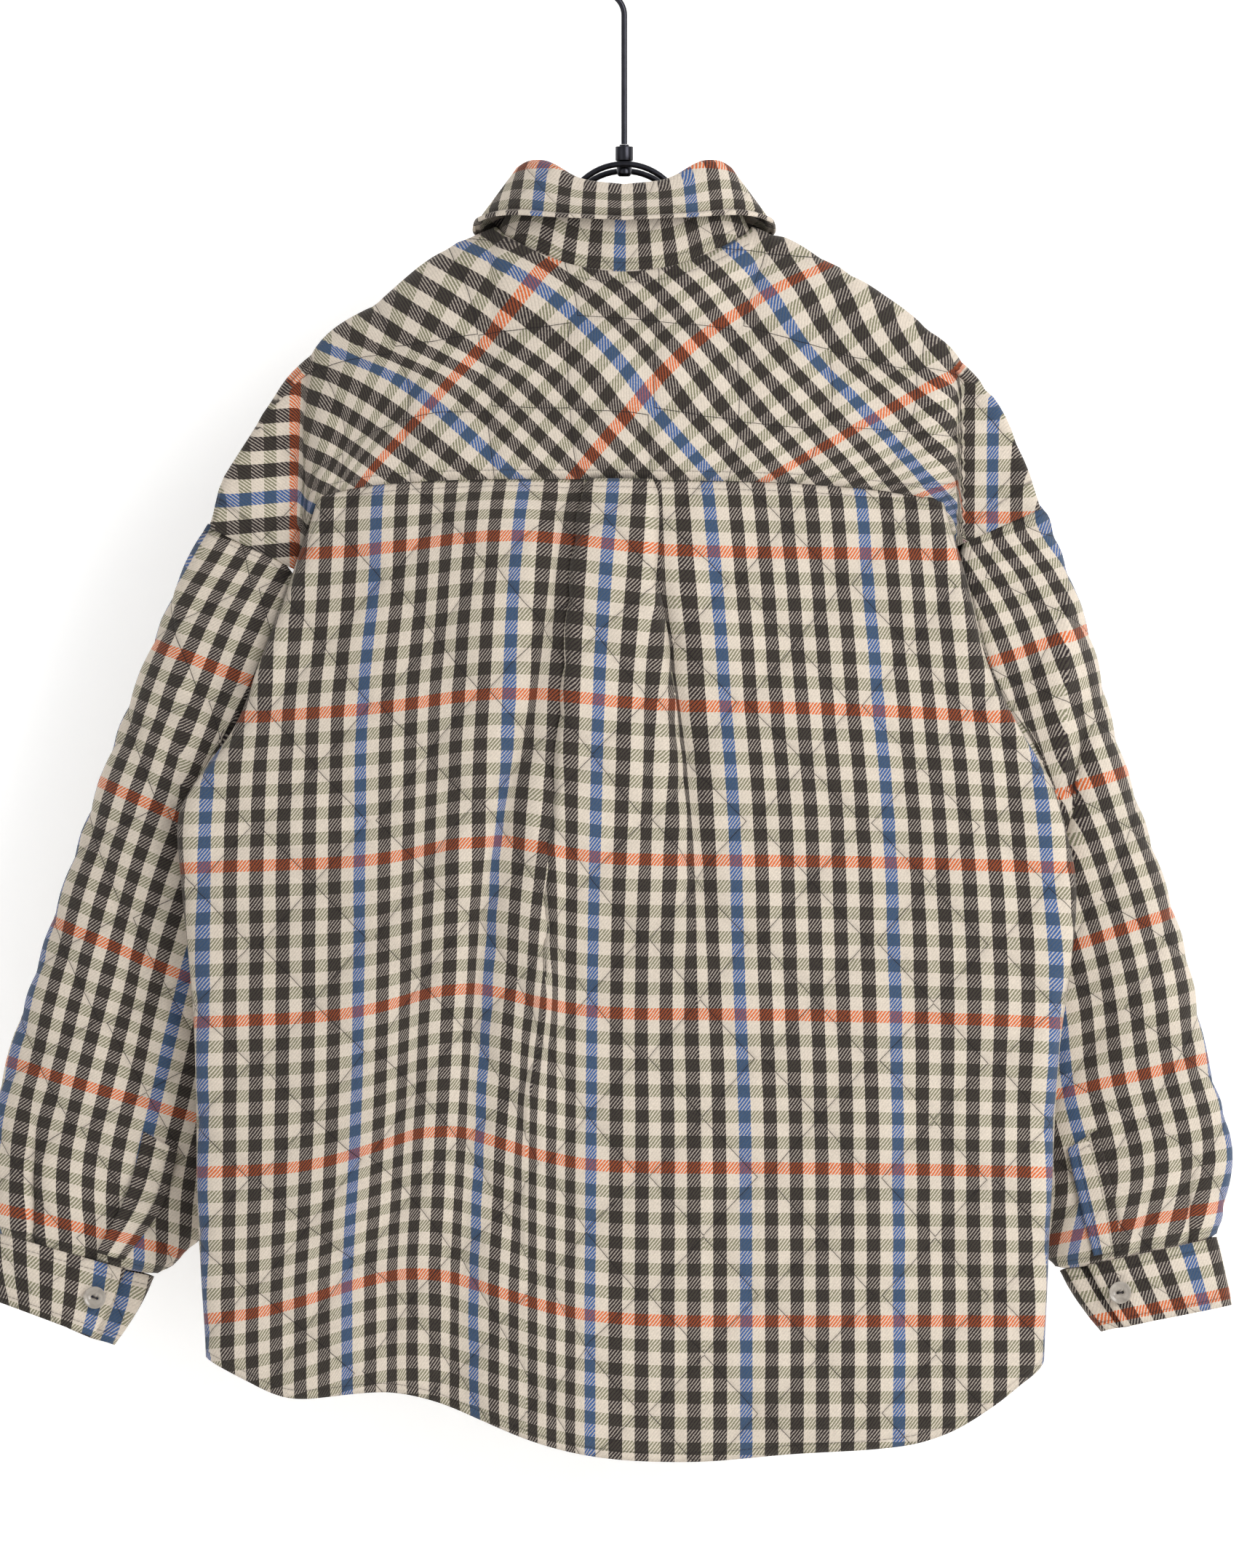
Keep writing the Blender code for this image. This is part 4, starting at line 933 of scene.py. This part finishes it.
def makeSleeve(side, name, facts, node):
    loop = armholeLoop(side)
    columns, rows = sleeves["columns"], sleeves["rows"]
    last = len(facts["rings"])
    made = {}
    silhouette = [(402, 272)] + [(ring[1], ring[0]) for ring in facts["rings"]]
    falls = [(row[0], row[3]) for row in facts["oranges"]]

    def ringAt(j):
        if j not in made:
            along = last * min(max(1 - (j - 1) / (rows - 2), 0), 1)
            points = [sleevePoint(facts, loop, side, 0.5 + i / columns, along) for i in range(columns + 1)]
            if j in (0, rows):
                beside = ringAt(2 if j == 0 else rows - 2)
                for i, (p, q) in enumerate(zip(points[:], beside)):
                    reach = sleeves["tuck"] * math.sqrt(max(math.sin(math.tau * (0.5 + i / columns)), 0.01))
                    points[i] = p + (p - q).normalized() * reach
            made[j] = points
        return made[j]

    def place(i, j):
        points = ringAt(j)
        point = points[i].copy()
        # across the cloth: along its own row to the sleeve's outer edge, and a little for the turn there
        v = sleeveDown(facts, point)
        fall = smoothRead(falls, v, 1)
        level = -point.z
        for k in range(4):
            level = -point.z + fall * (side * smoothRead(silhouette, level, 1) - point.x)
        far = abs(point.x - side * smoothRead(silhouette, level, 1)) * math.hypot(1, fall)
        turned = rounded(math.sin(math.tau * (0.5 + i / columns)))
        around = abs(turned) if abs(i / columns - 0.5) < 0.25 else 2 - abs(turned)
        arc = (far + sleeves["edgeTurn"] * around) * (1 if i > columns // 2 else -1)
        u = -side * (arc + smoothRead(facts["grain"], level, 1))
        fold = foldHeight(facts["folds"], point.x, -point.z) * abs(math.sin(math.pi * 2 * i / columns))
        point.y += fold * (sleeves["frontFolds"] if i < columns // 2 else -1)
        if j in (0, rows):
            return point, u, v, 0.0, 0.3        # tucked under the yoke or into the cuff
        return point, u, v, min((points[i] - ringAt(end)[i]).length for end in (0, rows))

    sewCloth(name, "cloth", node, columns, rows, place, quilt=(side * 20, 30), flip=side > 0)
    return loop


loopLeft = makeSleeve(-1, "sleeveLeft", sleeves["left"], "sleeve_left")
loopRight = makeSleeve(1, "sleeveRight", sleeves["right"], "sleeve_right")
print("sleeves")


# Cuffs, and the plackets above them

cuffs = {
    # rings from the top down, as on the sleeve; the cloth's u and v at the start, and how it leans
    "left": {
        "rings": [(417, 871, 314, 900, 50, 16), (419, 893, 325, 922, 50, 16), (417, 916, 340, 945, 50, 16)],
        "grain": 10.5, "lean": -9.8, "down": 21.0,
    },
    "right": {
        "rings": [(391, 875, 291, 896, 50, 16), (396, 897, 303, 916, 50, 16), (401, 920, 318, 936, 50, 16)],
        "grain": -61.5, "lean": 0.0, "down": -38.0,
    },
    # degrees: where the band starts, how far it winds, and how much of its end lies underneath
    "start": 128, "turn": 386, "under": 60,
    "deep": 46.0, "tuck": 5.0, "tuckIn": 5.5,
    "columns": 112, "rows": 14,
}


def makeCuff(side, name, facts, node):
    # a band wound once round the wrist, its buttoned end lying over the other
    start, turn, under = (math.radians(cuffs[key]) for key in ("start", "turn", "under"))
    columns, rows, deep = cuffs["columns"], cuffs["rows"], cuffs["deep"]
    table = [(k, *ring) for k, ring in enumerate(facts["rings"])]

    def pointAt(i, down):
        outer, outerDepth, inner, innerDepth, y, half = (smoothRead(table, down * 2, k) for k in range(1, 7))
        share = i / columns
        tucked = ease((share * turn - (turn - under)) / (under * 0.5))
        outer, inner = outer - cuffs["tuck"] * tucked, inner + cuffs["tuck"] * tucked
        ring = (outer, outerDepth, inner, innerDepth, y, half - cuffs["tuckIn"] * tucked)
        return ringPoint(ring, start - turn * share, side)

    arc = [0.0]
    for i in range(columns):
        arc.append(arc[-1] + (pointAt(i + 1, 0.5) - pointAt(i, 0.5)).length)

    def place(i, j):
        down = 1 - j / rows
        u = facts["grain"] + side * arc[i] + facts["lean"] * (down - 0.5)
        edge = min(down * deep, (1 - down) * deep, arc[i], arc[-1] - arc[i])
        return pointAt(i, down), u, facts["down"] + down * deep, edge

    sewCloth(name, "trim", node, columns, rows, place, relief=0.12, wall=2.6, flip=side < 0)


makeCuff(-1, "cuffLeft", cuffs["left"], "cuff_left")
makeCuff(1, "cuffRight", cuffs["right"], "cuff_right")


plackets = {
    # place round the sleeve, in steps of its armhole loop, and the cloth's u there
    "left": {"middle": 6.2, "grain": 25.0},
    "right": {"middle": 6.0, "grain": 7.0},
    "wide": 21.0, "long": 90.0, "out": 7.8,
    "stepsRound": 1.15, "ringsUp": 1.9,
    "columns": 10, "rows": 44,
}


def makePlacket(side, name, key, loop, node):
    sleeve, facts = sleeves[key], plackets[key]
    columns, rows, wide = plackets["columns"], plackets["rows"], plackets["wide"]
    last = len(sleeve["rings"])

    def place(i, j):
        share = i / columns
        along = last - 0.05 - plackets["ringsUp"] * j / rows
        turn = (facts["middle"] + plackets["stepsRound"] * (share - 0.5)) / sleeves["loop"]
        point = sleevePoint(sleeve, loop, side, turn, along)
        point.y -= plackets["out"]
        u = facts["grain"] - side * (share - 0.5) * wide
        edge = min(min(share, 1 - share) * wide, (rows - j) / rows * plackets["long"])
        return point, u, sleeveDown(sleeve, point), edge

    sewCloth(name, "trim", node, columns, rows, place, relief=0.1, wall=1.6, thick=1.4, flip=side < 0)


makePlacket(-1, "placketLeft", "left", loopLeft, "sleeve_placket_left")
makePlacket(1, "placketRight", "right", loopRight, "sleeve_placket_right")
print("cuffs and plackets")


# Collar: stand, and a leaf that rolls over it

collar = {
    "reach": 174.0,
    # half width, and how far it stands out behind and in front
    "standTop": (65, 28, 31), "standFoot": (81, 37, 41),
    "leafTop": (70, 33, 36), "leafFoot": (98, 46, 52),
    # angle from the back, depth of the top edge, depth of the leaf's lower edge
    "edge": [
        (0, 182, 205), (25, 178, 203), (50, 166, 201), (75, 168, 205), (90, 174, 210),
        (120, 186, 222), (145, 200, 252), (163, 212, 286), (174, 218, 262),
    ],
    # share of the leaf's width, how far out from the top edge, how far down
    "roll": [(0, -7, 2), (0.06, -3.6, 0.2), (0.12, 0, 0), (0.2, 4, 5)],
    "columns": 150, "standRows": 14, "leafRows": 36,
}


def roundNeck(half, backward, forward, angle, depth):
    y = -backward * math.cos(angle) if abs(angle) < math.pi / 2 else -forward * math.cos(angle)
    return Vector((half * math.sin(angle), y, -depth))


def collarArc(angle, half, deep):
    # length along an oval, from the middle of the back
    bends = [angle * (k + 0.5) / 24 for k in range(24)]
    length = sum(math.hypot(half * math.cos(bend), deep * math.sin(bend)) for bend in bends)
    return math.copysign(length * abs(angle) / 24, angle)


def standPlace(i, j):
    angle = math.radians(mix(-collar["reach"], collar["reach"], i / collar["columns"]))
    top = smoothRead(collar["edge"], abs(math.degrees(angle)), 1)
    x = body["neckHalf"] * math.sin(angle)
    seam = (topOf(x) if abs(angle) < math.pi / 2 else frontTopOf(x))[0]
    t = 1 - j / collar["standRows"]
    oval = [mix(a, b, t) for a, b in zip(collar["standTop"], collar["standFoot"])]
    point = roundNeck(*oval, angle, mix(top + 7, seam - 1.2, t))
    tall = seam - top - 8
    u = collarArc(angle, 81, 39) + 3
    edge = min(t, 1 - t) * tall
    return point, u, t * tall + 40, max(edge, 0)


def leafPlace(i, j):
    angle = math.radians(mix(-collar["reach"], collar["reach"], i / collar["columns"]))
    top = smoothRead(collar["edge"], abs(math.degrees(angle)), 1)
    low = smoothRead(collar["edge"], abs(math.degrees(angle)), 2)
    t = 1 - j / collar["leafRows"]
    if t < 0.2:
        grow, down = smoothRead(collar["roll"], t, 1), smoothRead(collar["roll"], t, 2)
        point = roundNeck(*(a + grow for a in collar["leafTop"]), angle, top + down)
    else:
        s = (t - 0.2) / 0.8
        oval = [mix(a + 4, b, s) for a, b in zip(collar["leafTop"], collar["leafFoot"])]
        point = roundNeck(*oval, angle, mix(top + 5, low, s))
    wide = math.hypot(low - top - 5, 22) + 12
    u = collarArc(angle, 88, 46) * mix(collar["leafTop"][0] + 2, collar["leafFoot"][0], t) / 88 + 58
    edge = max(min((1 - t) * wide, (1 - abs(math.degrees(angle)) / collar["reach"]) * 250), 0)
    # the sewn edge is a fat roll with a groove above it
    roll = 1.7 * math.exp(-((edge - 2.6) / 2.0) ** 2) - 1.0 * math.exp(-((edge - 6.4) / 1.4) ** 2)
    return point, u, t * wide - wide + 44, edge, 2.5 + roll


sewCloth("collarStand", "trim", "collar_stand", collar["columns"], collar["standRows"], standPlace,
         relief=0.1, wall=2.6)
sewCloth("collarLeaf", "trim", "collar_leaf", collar["columns"], collar["leafRows"], leafPlace,
         relief=0.12, wall=2.6)
print("collar")


# Button band down the front, hidden from the camera

band = {"columns": 10, "rows": 150, "out": 7.2}


def bandPlace(i, j):
    across = mix(-front["overlap"] + 0.3, front["overlap"], i / band["columns"])
    start = frontTopOf(across)[0] + 2
    end = smoothRead(body["frontHem"], abs(across), 1) - 0.3
    depth = mix(start, end, 1 - j / band["rows"])
    point = frontSurface(across, depth)
    point.y += band["out"]
    edge = min(across + front["overlap"], front["overlap"] - across, depth - start, end - depth)
    return point, 40 - across, depth, max(edge, 0)


sewCloth("frontBand", "trim", "front_band", band["columns"], band["rows"], bandPlace, relief=0.1, wall=1.8,
         thick=1.5, flip=True)
print("button band")


# Buttons

button = {
    "radius": 7.5, "thick": 3.2, "rim": 1.9, "dish": 0.8, "hole": 0.95, "apart": 1.55,
    "foot": 0.86,           # width of its back, as a share of the front
    "thread": 0.21, "threadApart": 0.34,
}


def buttonResin():
    # cast polyester with a pearly swirl, polished, so it has a soft highlight
    made, shader, add = newMaterial("pearly grey button resin")
    place = add("TexCoord").outputs["Object"]
    swirl = add("TexNoise", named={"Vector": place, "Scale": 110.0, "Detail": 4.0, "Distortion": 1.4})
    fine = add("TexNoise", named={"Vector": place, "Scale": 700.0})
    fill(shader, {
        "Base Color": add("Mix", swirl, linear("#6E665D"), linear("#B3ABA0"), data_type="RGBA"),
        "Roughness": add("Math MULTIPLY_ADD", swirl, 0.14, 0.16),
        "Normal": add("Bump", named={"Strength": 0.15, "Distance": 0.0002, "Height": fine}),
        "Coat Weight": 0.35, "Coat Roughness": 0.1,
    })
    return made


def threadFibre():
    # spun polyester, dull, with the twist of its ply showing
    made, shader, add = newMaterial("dark sewing thread")
    place = add("TexCoord").outputs["Object"]
    ply = add("TexWave", named={"Vector": place, "Scale": 900.0, "Distortion": 1.0}).outputs["Fac"]
    fill(shader, {
        "Base Color": add("Mix", ply, linear("#1D1A1C"), linear("#3A3334"), data_type="RGBA"),
        "Normal": add("Bump", named={"Strength": 0.5, "Distance": 0.0002, "Height": ply}),
        "Roughness": 0.7,
    })
    return made


resin = buttonResin()           # buttons
sewingThread = threadFibre()    # what holds them on


def sewButton(name, node, facing, across):
    low, high = (Vector(corner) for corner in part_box(node))
    toFace = facing * ((high - low).dot(Vector([abs(c) for c in facing])) / 2)
    seat = (low + high) / 2 - toFace
    turn = facing.to_track_quat("Z", "Y").to_matrix()
    tall, radius = button["thick"] * mm, button["radius"] * mm
    bm = bmesh.new()
    bmesh.ops.create_circle(bm, cap_ends=True, segments=48, radius=radius * button["foot"])
    raised = bmesh.ops.extrude_face_region(bm, geom=bm.faces[:])
    top = [g for g in raised["geom"] if isinstance(g, bmesh.types.BMVert)]
    bmesh.ops.translate(bm, verts=top, vec=(0, 0, tall))
    bmesh.ops.scale(bm, verts=top, vec=(1.16, 1.16, 1))
    cap = max(bm.faces, key=lambda f: f.calc_center_median().z)
    bmesh.ops.inset_region(bm, faces=[cap], thickness=button["rim"] * 0.5 * mm, depth=0)
    bmesh.ops.inset_region(bm, faces=[cap], thickness=button["rim"] * 0.7 * mm, depth=-button["dish"] * mm)
    bmesh.ops.bevel(bm, geom=[e for e in bm.edges if e.calc_face_angle(0) > 0.4], offset=0.3 * mm, segments=3,
                    profile=0.5, affect="EDGES", material=-1)
    bmesh.ops.recalc_face_normals(bm, faces=bm.faces)
    disc = addMesh(name, bm, resin)
    holes = bmesh.new()
    along = Vector((*across, 0))
    for spot in (-1, 1):
        made = bmesh.ops.create_cone(holes, cap_ends=True, segments=20, radius1=button["hole"] * mm,
                                     radius2=button["hole"] * mm, depth=0.02)
        bmesh.ops.translate(holes, verts=made["verts"], vec=along * spot * button["apart"] * mm)
    cutter = addMesh(name + "Holes", holes, resin)
    cut = disc.modifiers.new("holes", "BOOLEAN")
    cut.object = cutter
    cut.operation = "DIFFERENCE"
    bpy.context.view_layer.update()
    drilled = bpy.data.meshes.new_from_object(disc.evaluated_get(bpy.context.evaluated_depsgraph_get()))
    disc.modifiers.clear()
    disc.data = drilled
    bpy.data.objects.remove(cutter, do_unlink=True)
    bm = bmesh.new()
    bm.from_mesh(drilled)
    bmesh.ops.rotate(bm, verts=bm.verts, cent=(0, 0, 0), matrix=turn)
    bmesh.ops.translate(bm, verts=bm.verts, vec=seat)
    bm.to_mesh(drilled)
    bm.free()
    fit(disc, node)
    thread = bmesh.new()
    lay = along.to_track_quat("Z", "Y").to_matrix()
    beside = Vector((-across[1], across[0], 0))
    for k in range(3):
        made = bmesh.ops.create_cone(thread, cap_ends=True, segments=8, radius1=button["thread"] * mm,
                                     radius2=button["thread"] * mm, depth=button["apart"] * 2.3 * mm)
        bmesh.ops.rotate(thread, verts=made["verts"], cent=(0, 0, 0), matrix=lay)
        move = beside * (k - 1) * button["threadApart"] * mm
        move.z = tall - (button["dish"] - 0.25 - 0.1 * k) * mm
        bmesh.ops.translate(thread, verts=made["verts"], vec=move)
    bmesh.ops.rotate(thread, verts=thread.verts, cent=(0, 0, 0), matrix=turn)
    bmesh.ops.translate(thread, verts=thread.verts, vec=seat)
    sewn = addMesh(name + "Thread", thread, sewingThread)
    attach(sewn, "root")


sewButton("cuffButtonLeft", "cuff_button_left", Vector((0, -1, 0)), (0.94, -0.34))
sewButton("cuffButtonRight", "cuff_button_right", Vector((0, -1, 0)), (0.99, 0.1))
for k in range(6):
    sewButton(f"frontButton{k + 1}", f"front_button_{k + 1}", Vector((0, 1, 0)), (0, 1))
print("buttons")


# Wire hanger

hanger = {
    "wire": 2.0, "hookRadius": 28.0, "hookBend": 15.0, "stemTop": -66.4, "stemEnd": -151.6,
    "apart": 7.6, "tipApart": 2.6, "archRadius": 40.0,
    "tops": {"hangerWireBack": -165.0, "hangerWireFront": -169.0},
    "path": [(46, -211), (60, -217), (84, -222), (108, -233), (132, -249), (156, -266), (180, -284),
             (193, -296), (197, -306), (194, -315), (184, -320)],
    # radius and height down the turned bead
    "bead": [(0, -151.9), (3.2, -151.9), (3.2, -153.2), (5.9, -153.2), (5.9, -162.4), (4.6, -163.0),
             (4.6, -166.4), (5.0, -167.0), (5.0, -171.2), (3.6, -173.0), (0, -173.0)],
}


def wireLacquer():
    # steel wire dipped in a dark metallic lacquer, smeared in places, so its highlight is broken
    made, shader, add = newMaterial("gunmetal lacquered wire")
    place = add("TexCoord").outputs["Object"]
    smear = add("TexNoise", named={"Vector": place, "Scale": 160.0, "Detail": 4.0})
    fill(shader, {
        "Base Color": add("Mix", smear, linear("#26262A"), linear("#3B3B41"), data_type="RGBA"),
        "Roughness": add("Math MULTIPLY_ADD", smear, 0.22, 0.2),
        "Normal": add("Bump", named={"Strength": 0.12, "Distance": 0.0003, "Height": smear}),
        "Metallic": 1.0,
    })
    return made


gunmetal = wireLacquer()     # hook, bead and wires


def bendWire(name, node, points, closed):
    curve = bpy.data.curves.new(name, "CURVE")
    curve.dimensions = "3D"
    curve.bevel_depth = hanger["wire"] * mm
    curve.bevel_resolution = 6
    curve.use_fill_caps = not closed
    line = curve.splines.new("POLY")
    line.points.add(len(points) - 1)
    line.use_cyclic_u = closed
    for spot, place in zip(line.points, points):
        spot.co = (*(place * mm), 1)
    obj = bpy.data.objects.new(name, curve)
    scene.collection.objects.link(obj)
    curve.materials.append(gunmetal)
    return fit(obj, node)


lean = math.acos(hanger["hookBend"] / (hanger["hookBend"] + hanger["hookRadius"]))
hookPath = [Vector((0, 0, mix(hanger["stemEnd"], hanger["stemTop"], k / 6))) for k in range(7)]
for k in range(1, 13):
    bent = lean * k / 12
    hookPath.append(Vector((hanger["hookBend"] * (math.cos(bent) - 1), 0,
                            hanger["stemTop"] + hanger["hookBend"] * math.sin(bent))))
for k in range(1, 49):
    bent = mix(math.pi + lean, math.radians(-15), k / 48)
    hookPath.append(Vector((hanger["hookRadius"] * math.cos(bent), 0,
                            hanger["wire"] - hanger["hookRadius"] + hanger["hookRadius"] * math.sin(bent))))
bendWire("hangerHook", "hanger_hook", hookPath, False)

bm = bmesh.new()
chain = [bm.verts.new((r * mm, 0, z * mm)) for r, z in hanger["bead"]]
lines = [bm.edges.new(pair) for pair in zip(chain[:-1], chain[1:])]
bmesh.ops.spin(bm, geom=chain + lines, cent=(0, 0, 0), axis=(0, 0, 1), angle=math.tau, steps=48,
               use_merge=True)
bmesh.ops.remove_doubles(bm, verts=bm.verts, dist=0.00001)
bmesh.ops.recalc_face_normals(bm, faces=bm.faces)
bmesh.ops.bevel(bm, geom=[e for e in bm.edges if e.calc_face_angle(0) > 0.6], offset=0.35 * mm, segments=2,
                profile=0.5, affect="EDGES", material=-1)
fit(addMesh("hangerBead", bm, gunmetal), "hanger_collar")

for name, node, side in (("hangerWireBack", "hanger_wire_back", -1),
                         ("hangerWireFront", "hanger_wire_front", 1)):
    # an arch under the hook, then along the shoulder to the loop at its end
    top, radius = hanger["tops"][name], hanger["archRadius"]
    arch = []
    for k in range(14):
        bent = math.radians(78) * k / 13
        arch.append((radius * math.sin(bent), top - radius * (1 - math.cos(bent))))
    corners = [(k, *spot) for k, spot in enumerate([arch[-1]] + hanger["path"])]
    for k in range(1, 4 * (len(corners) - 1) + 1):
        arch.append((smoothRead(corners, k / 4, 1), smoothRead(corners, k / 4, 2)))
    half = []
    for x, z in arch:
        half.append(Vector((x, side * mix(hanger["apart"], hanger["tipApart"], ease((x - 90) / 80)), z)))
    bendWire(name, node, half + [Vector((-p.x, p.y, p.z)) for p in reversed(half[1:])], True)
print("hanger")


# Wall, floor, lights and camera

studio = {
    "cameraAside": 0.00216, "cameraBack": 9.0, "cameraDown": 0.574,
    "lens": 313.0,
    "wallBehind": 0.19,
    "floorBelow": 1.75,
}


def paint(name, colour, glow, seeThrough):
    # matt emulsion, with slow changes of tone
    made, shader, add = newMaterial(name)
    grain = add("TexNoise", named={"Scale": 7.0, "Detail": 5.0})
    fill(shader, {
        "Base Color": add("Mix", grain, linear(colour), linear("#FFFFFF"), data_type="RGBA"),
        "Roughness": 0.85, "Emission Color": linear("#FFFFFF"), "Emission Strength": glow,
    })
    if seeThrough:
        facing = add("NewGeometry").outputs["Backfacing"]
        both = add("MixShader", facing, shader, add("BsdfTransparent"))
        fill(made.node_tree.nodes["Material Output"], {"Surface": both})
    return made


def addPlane(name, width, depth, turn, place, material):
    bm = bmesh.new()
    bmesh.ops.create_grid(bm, x_segments=1, y_segments=1, size=0.5)
    bmesh.ops.scale(bm, vec=(width, depth, 1), verts=bm.verts)
    bmesh.ops.rotate(bm, verts=bm.verts, cent=(0, 0, 0), matrix=turn)
    bmesh.ops.translate(bm, verts=bm.verts, vec=place)
    addMesh(name, bm, material, smooth=False)


addPlane("wall", 8, 5, Matrix.Rotation(math.radians(90), 3, "X"), (0, studio["wallBehind"], 0.2),
         paint("white wall paint", "#FBFBF9", 0.3, True))
addPlane("floor", 8, 8, Matrix.Identity(3), (0, 0, -studio["floorBelow"]),
         paint("pale floor", "#ECEBE8", 0.0, False))


def addLight(name, place, target, width, height, power):
    data = bpy.data.lights.new(name, "AREA")
    data.shape = "RECTANGLE"
    data.size, data.size_y = width, height
    data.energy = power
    obj = bpy.data.objects.new(name, data)
    scene.collection.objects.link(obj)
    obj.location = place
    obj.rotation_euler = (Vector(target) - Vector(place)).to_track_quat("-Z", "Y").to_euler()


middle = (0, 0, -0.55)
addLight("window light", (2.1, -2.6, 0.5), middle, 2.0, 2.2, 92)
addLight("fill light", (-2.2, -2.8, -0.2), middle, 2.4, 2.4, 15)
addLight("light behind", (0.4, 2.9, 0.7), middle, 2.0, 2.0, 55)
world = bpy.data.worlds.new("soft white room")
scene.world = world
world.use_nodes = True
world.node_tree.nodes["Background"].inputs[0].default_value = linear("#F5F6F8")
world.node_tree.nodes["Background"].inputs[1].default_value = 0.64

cameraData = bpy.data.cameras.new("camera")
cameraData.sensor_width = 36
cameraData.lens = studio["lens"]
camera = bpy.data.objects.new("camera", cameraData)
camera.location = (studio["cameraAside"], -studio["cameraBack"], -studio["cameraDown"])
camera.rotation_euler = (math.radians(90), 0, 0)
scene.collection.objects.link(camera)
scene.camera = camera
scene.view_settings.view_transform = "Standard"
print("studio")
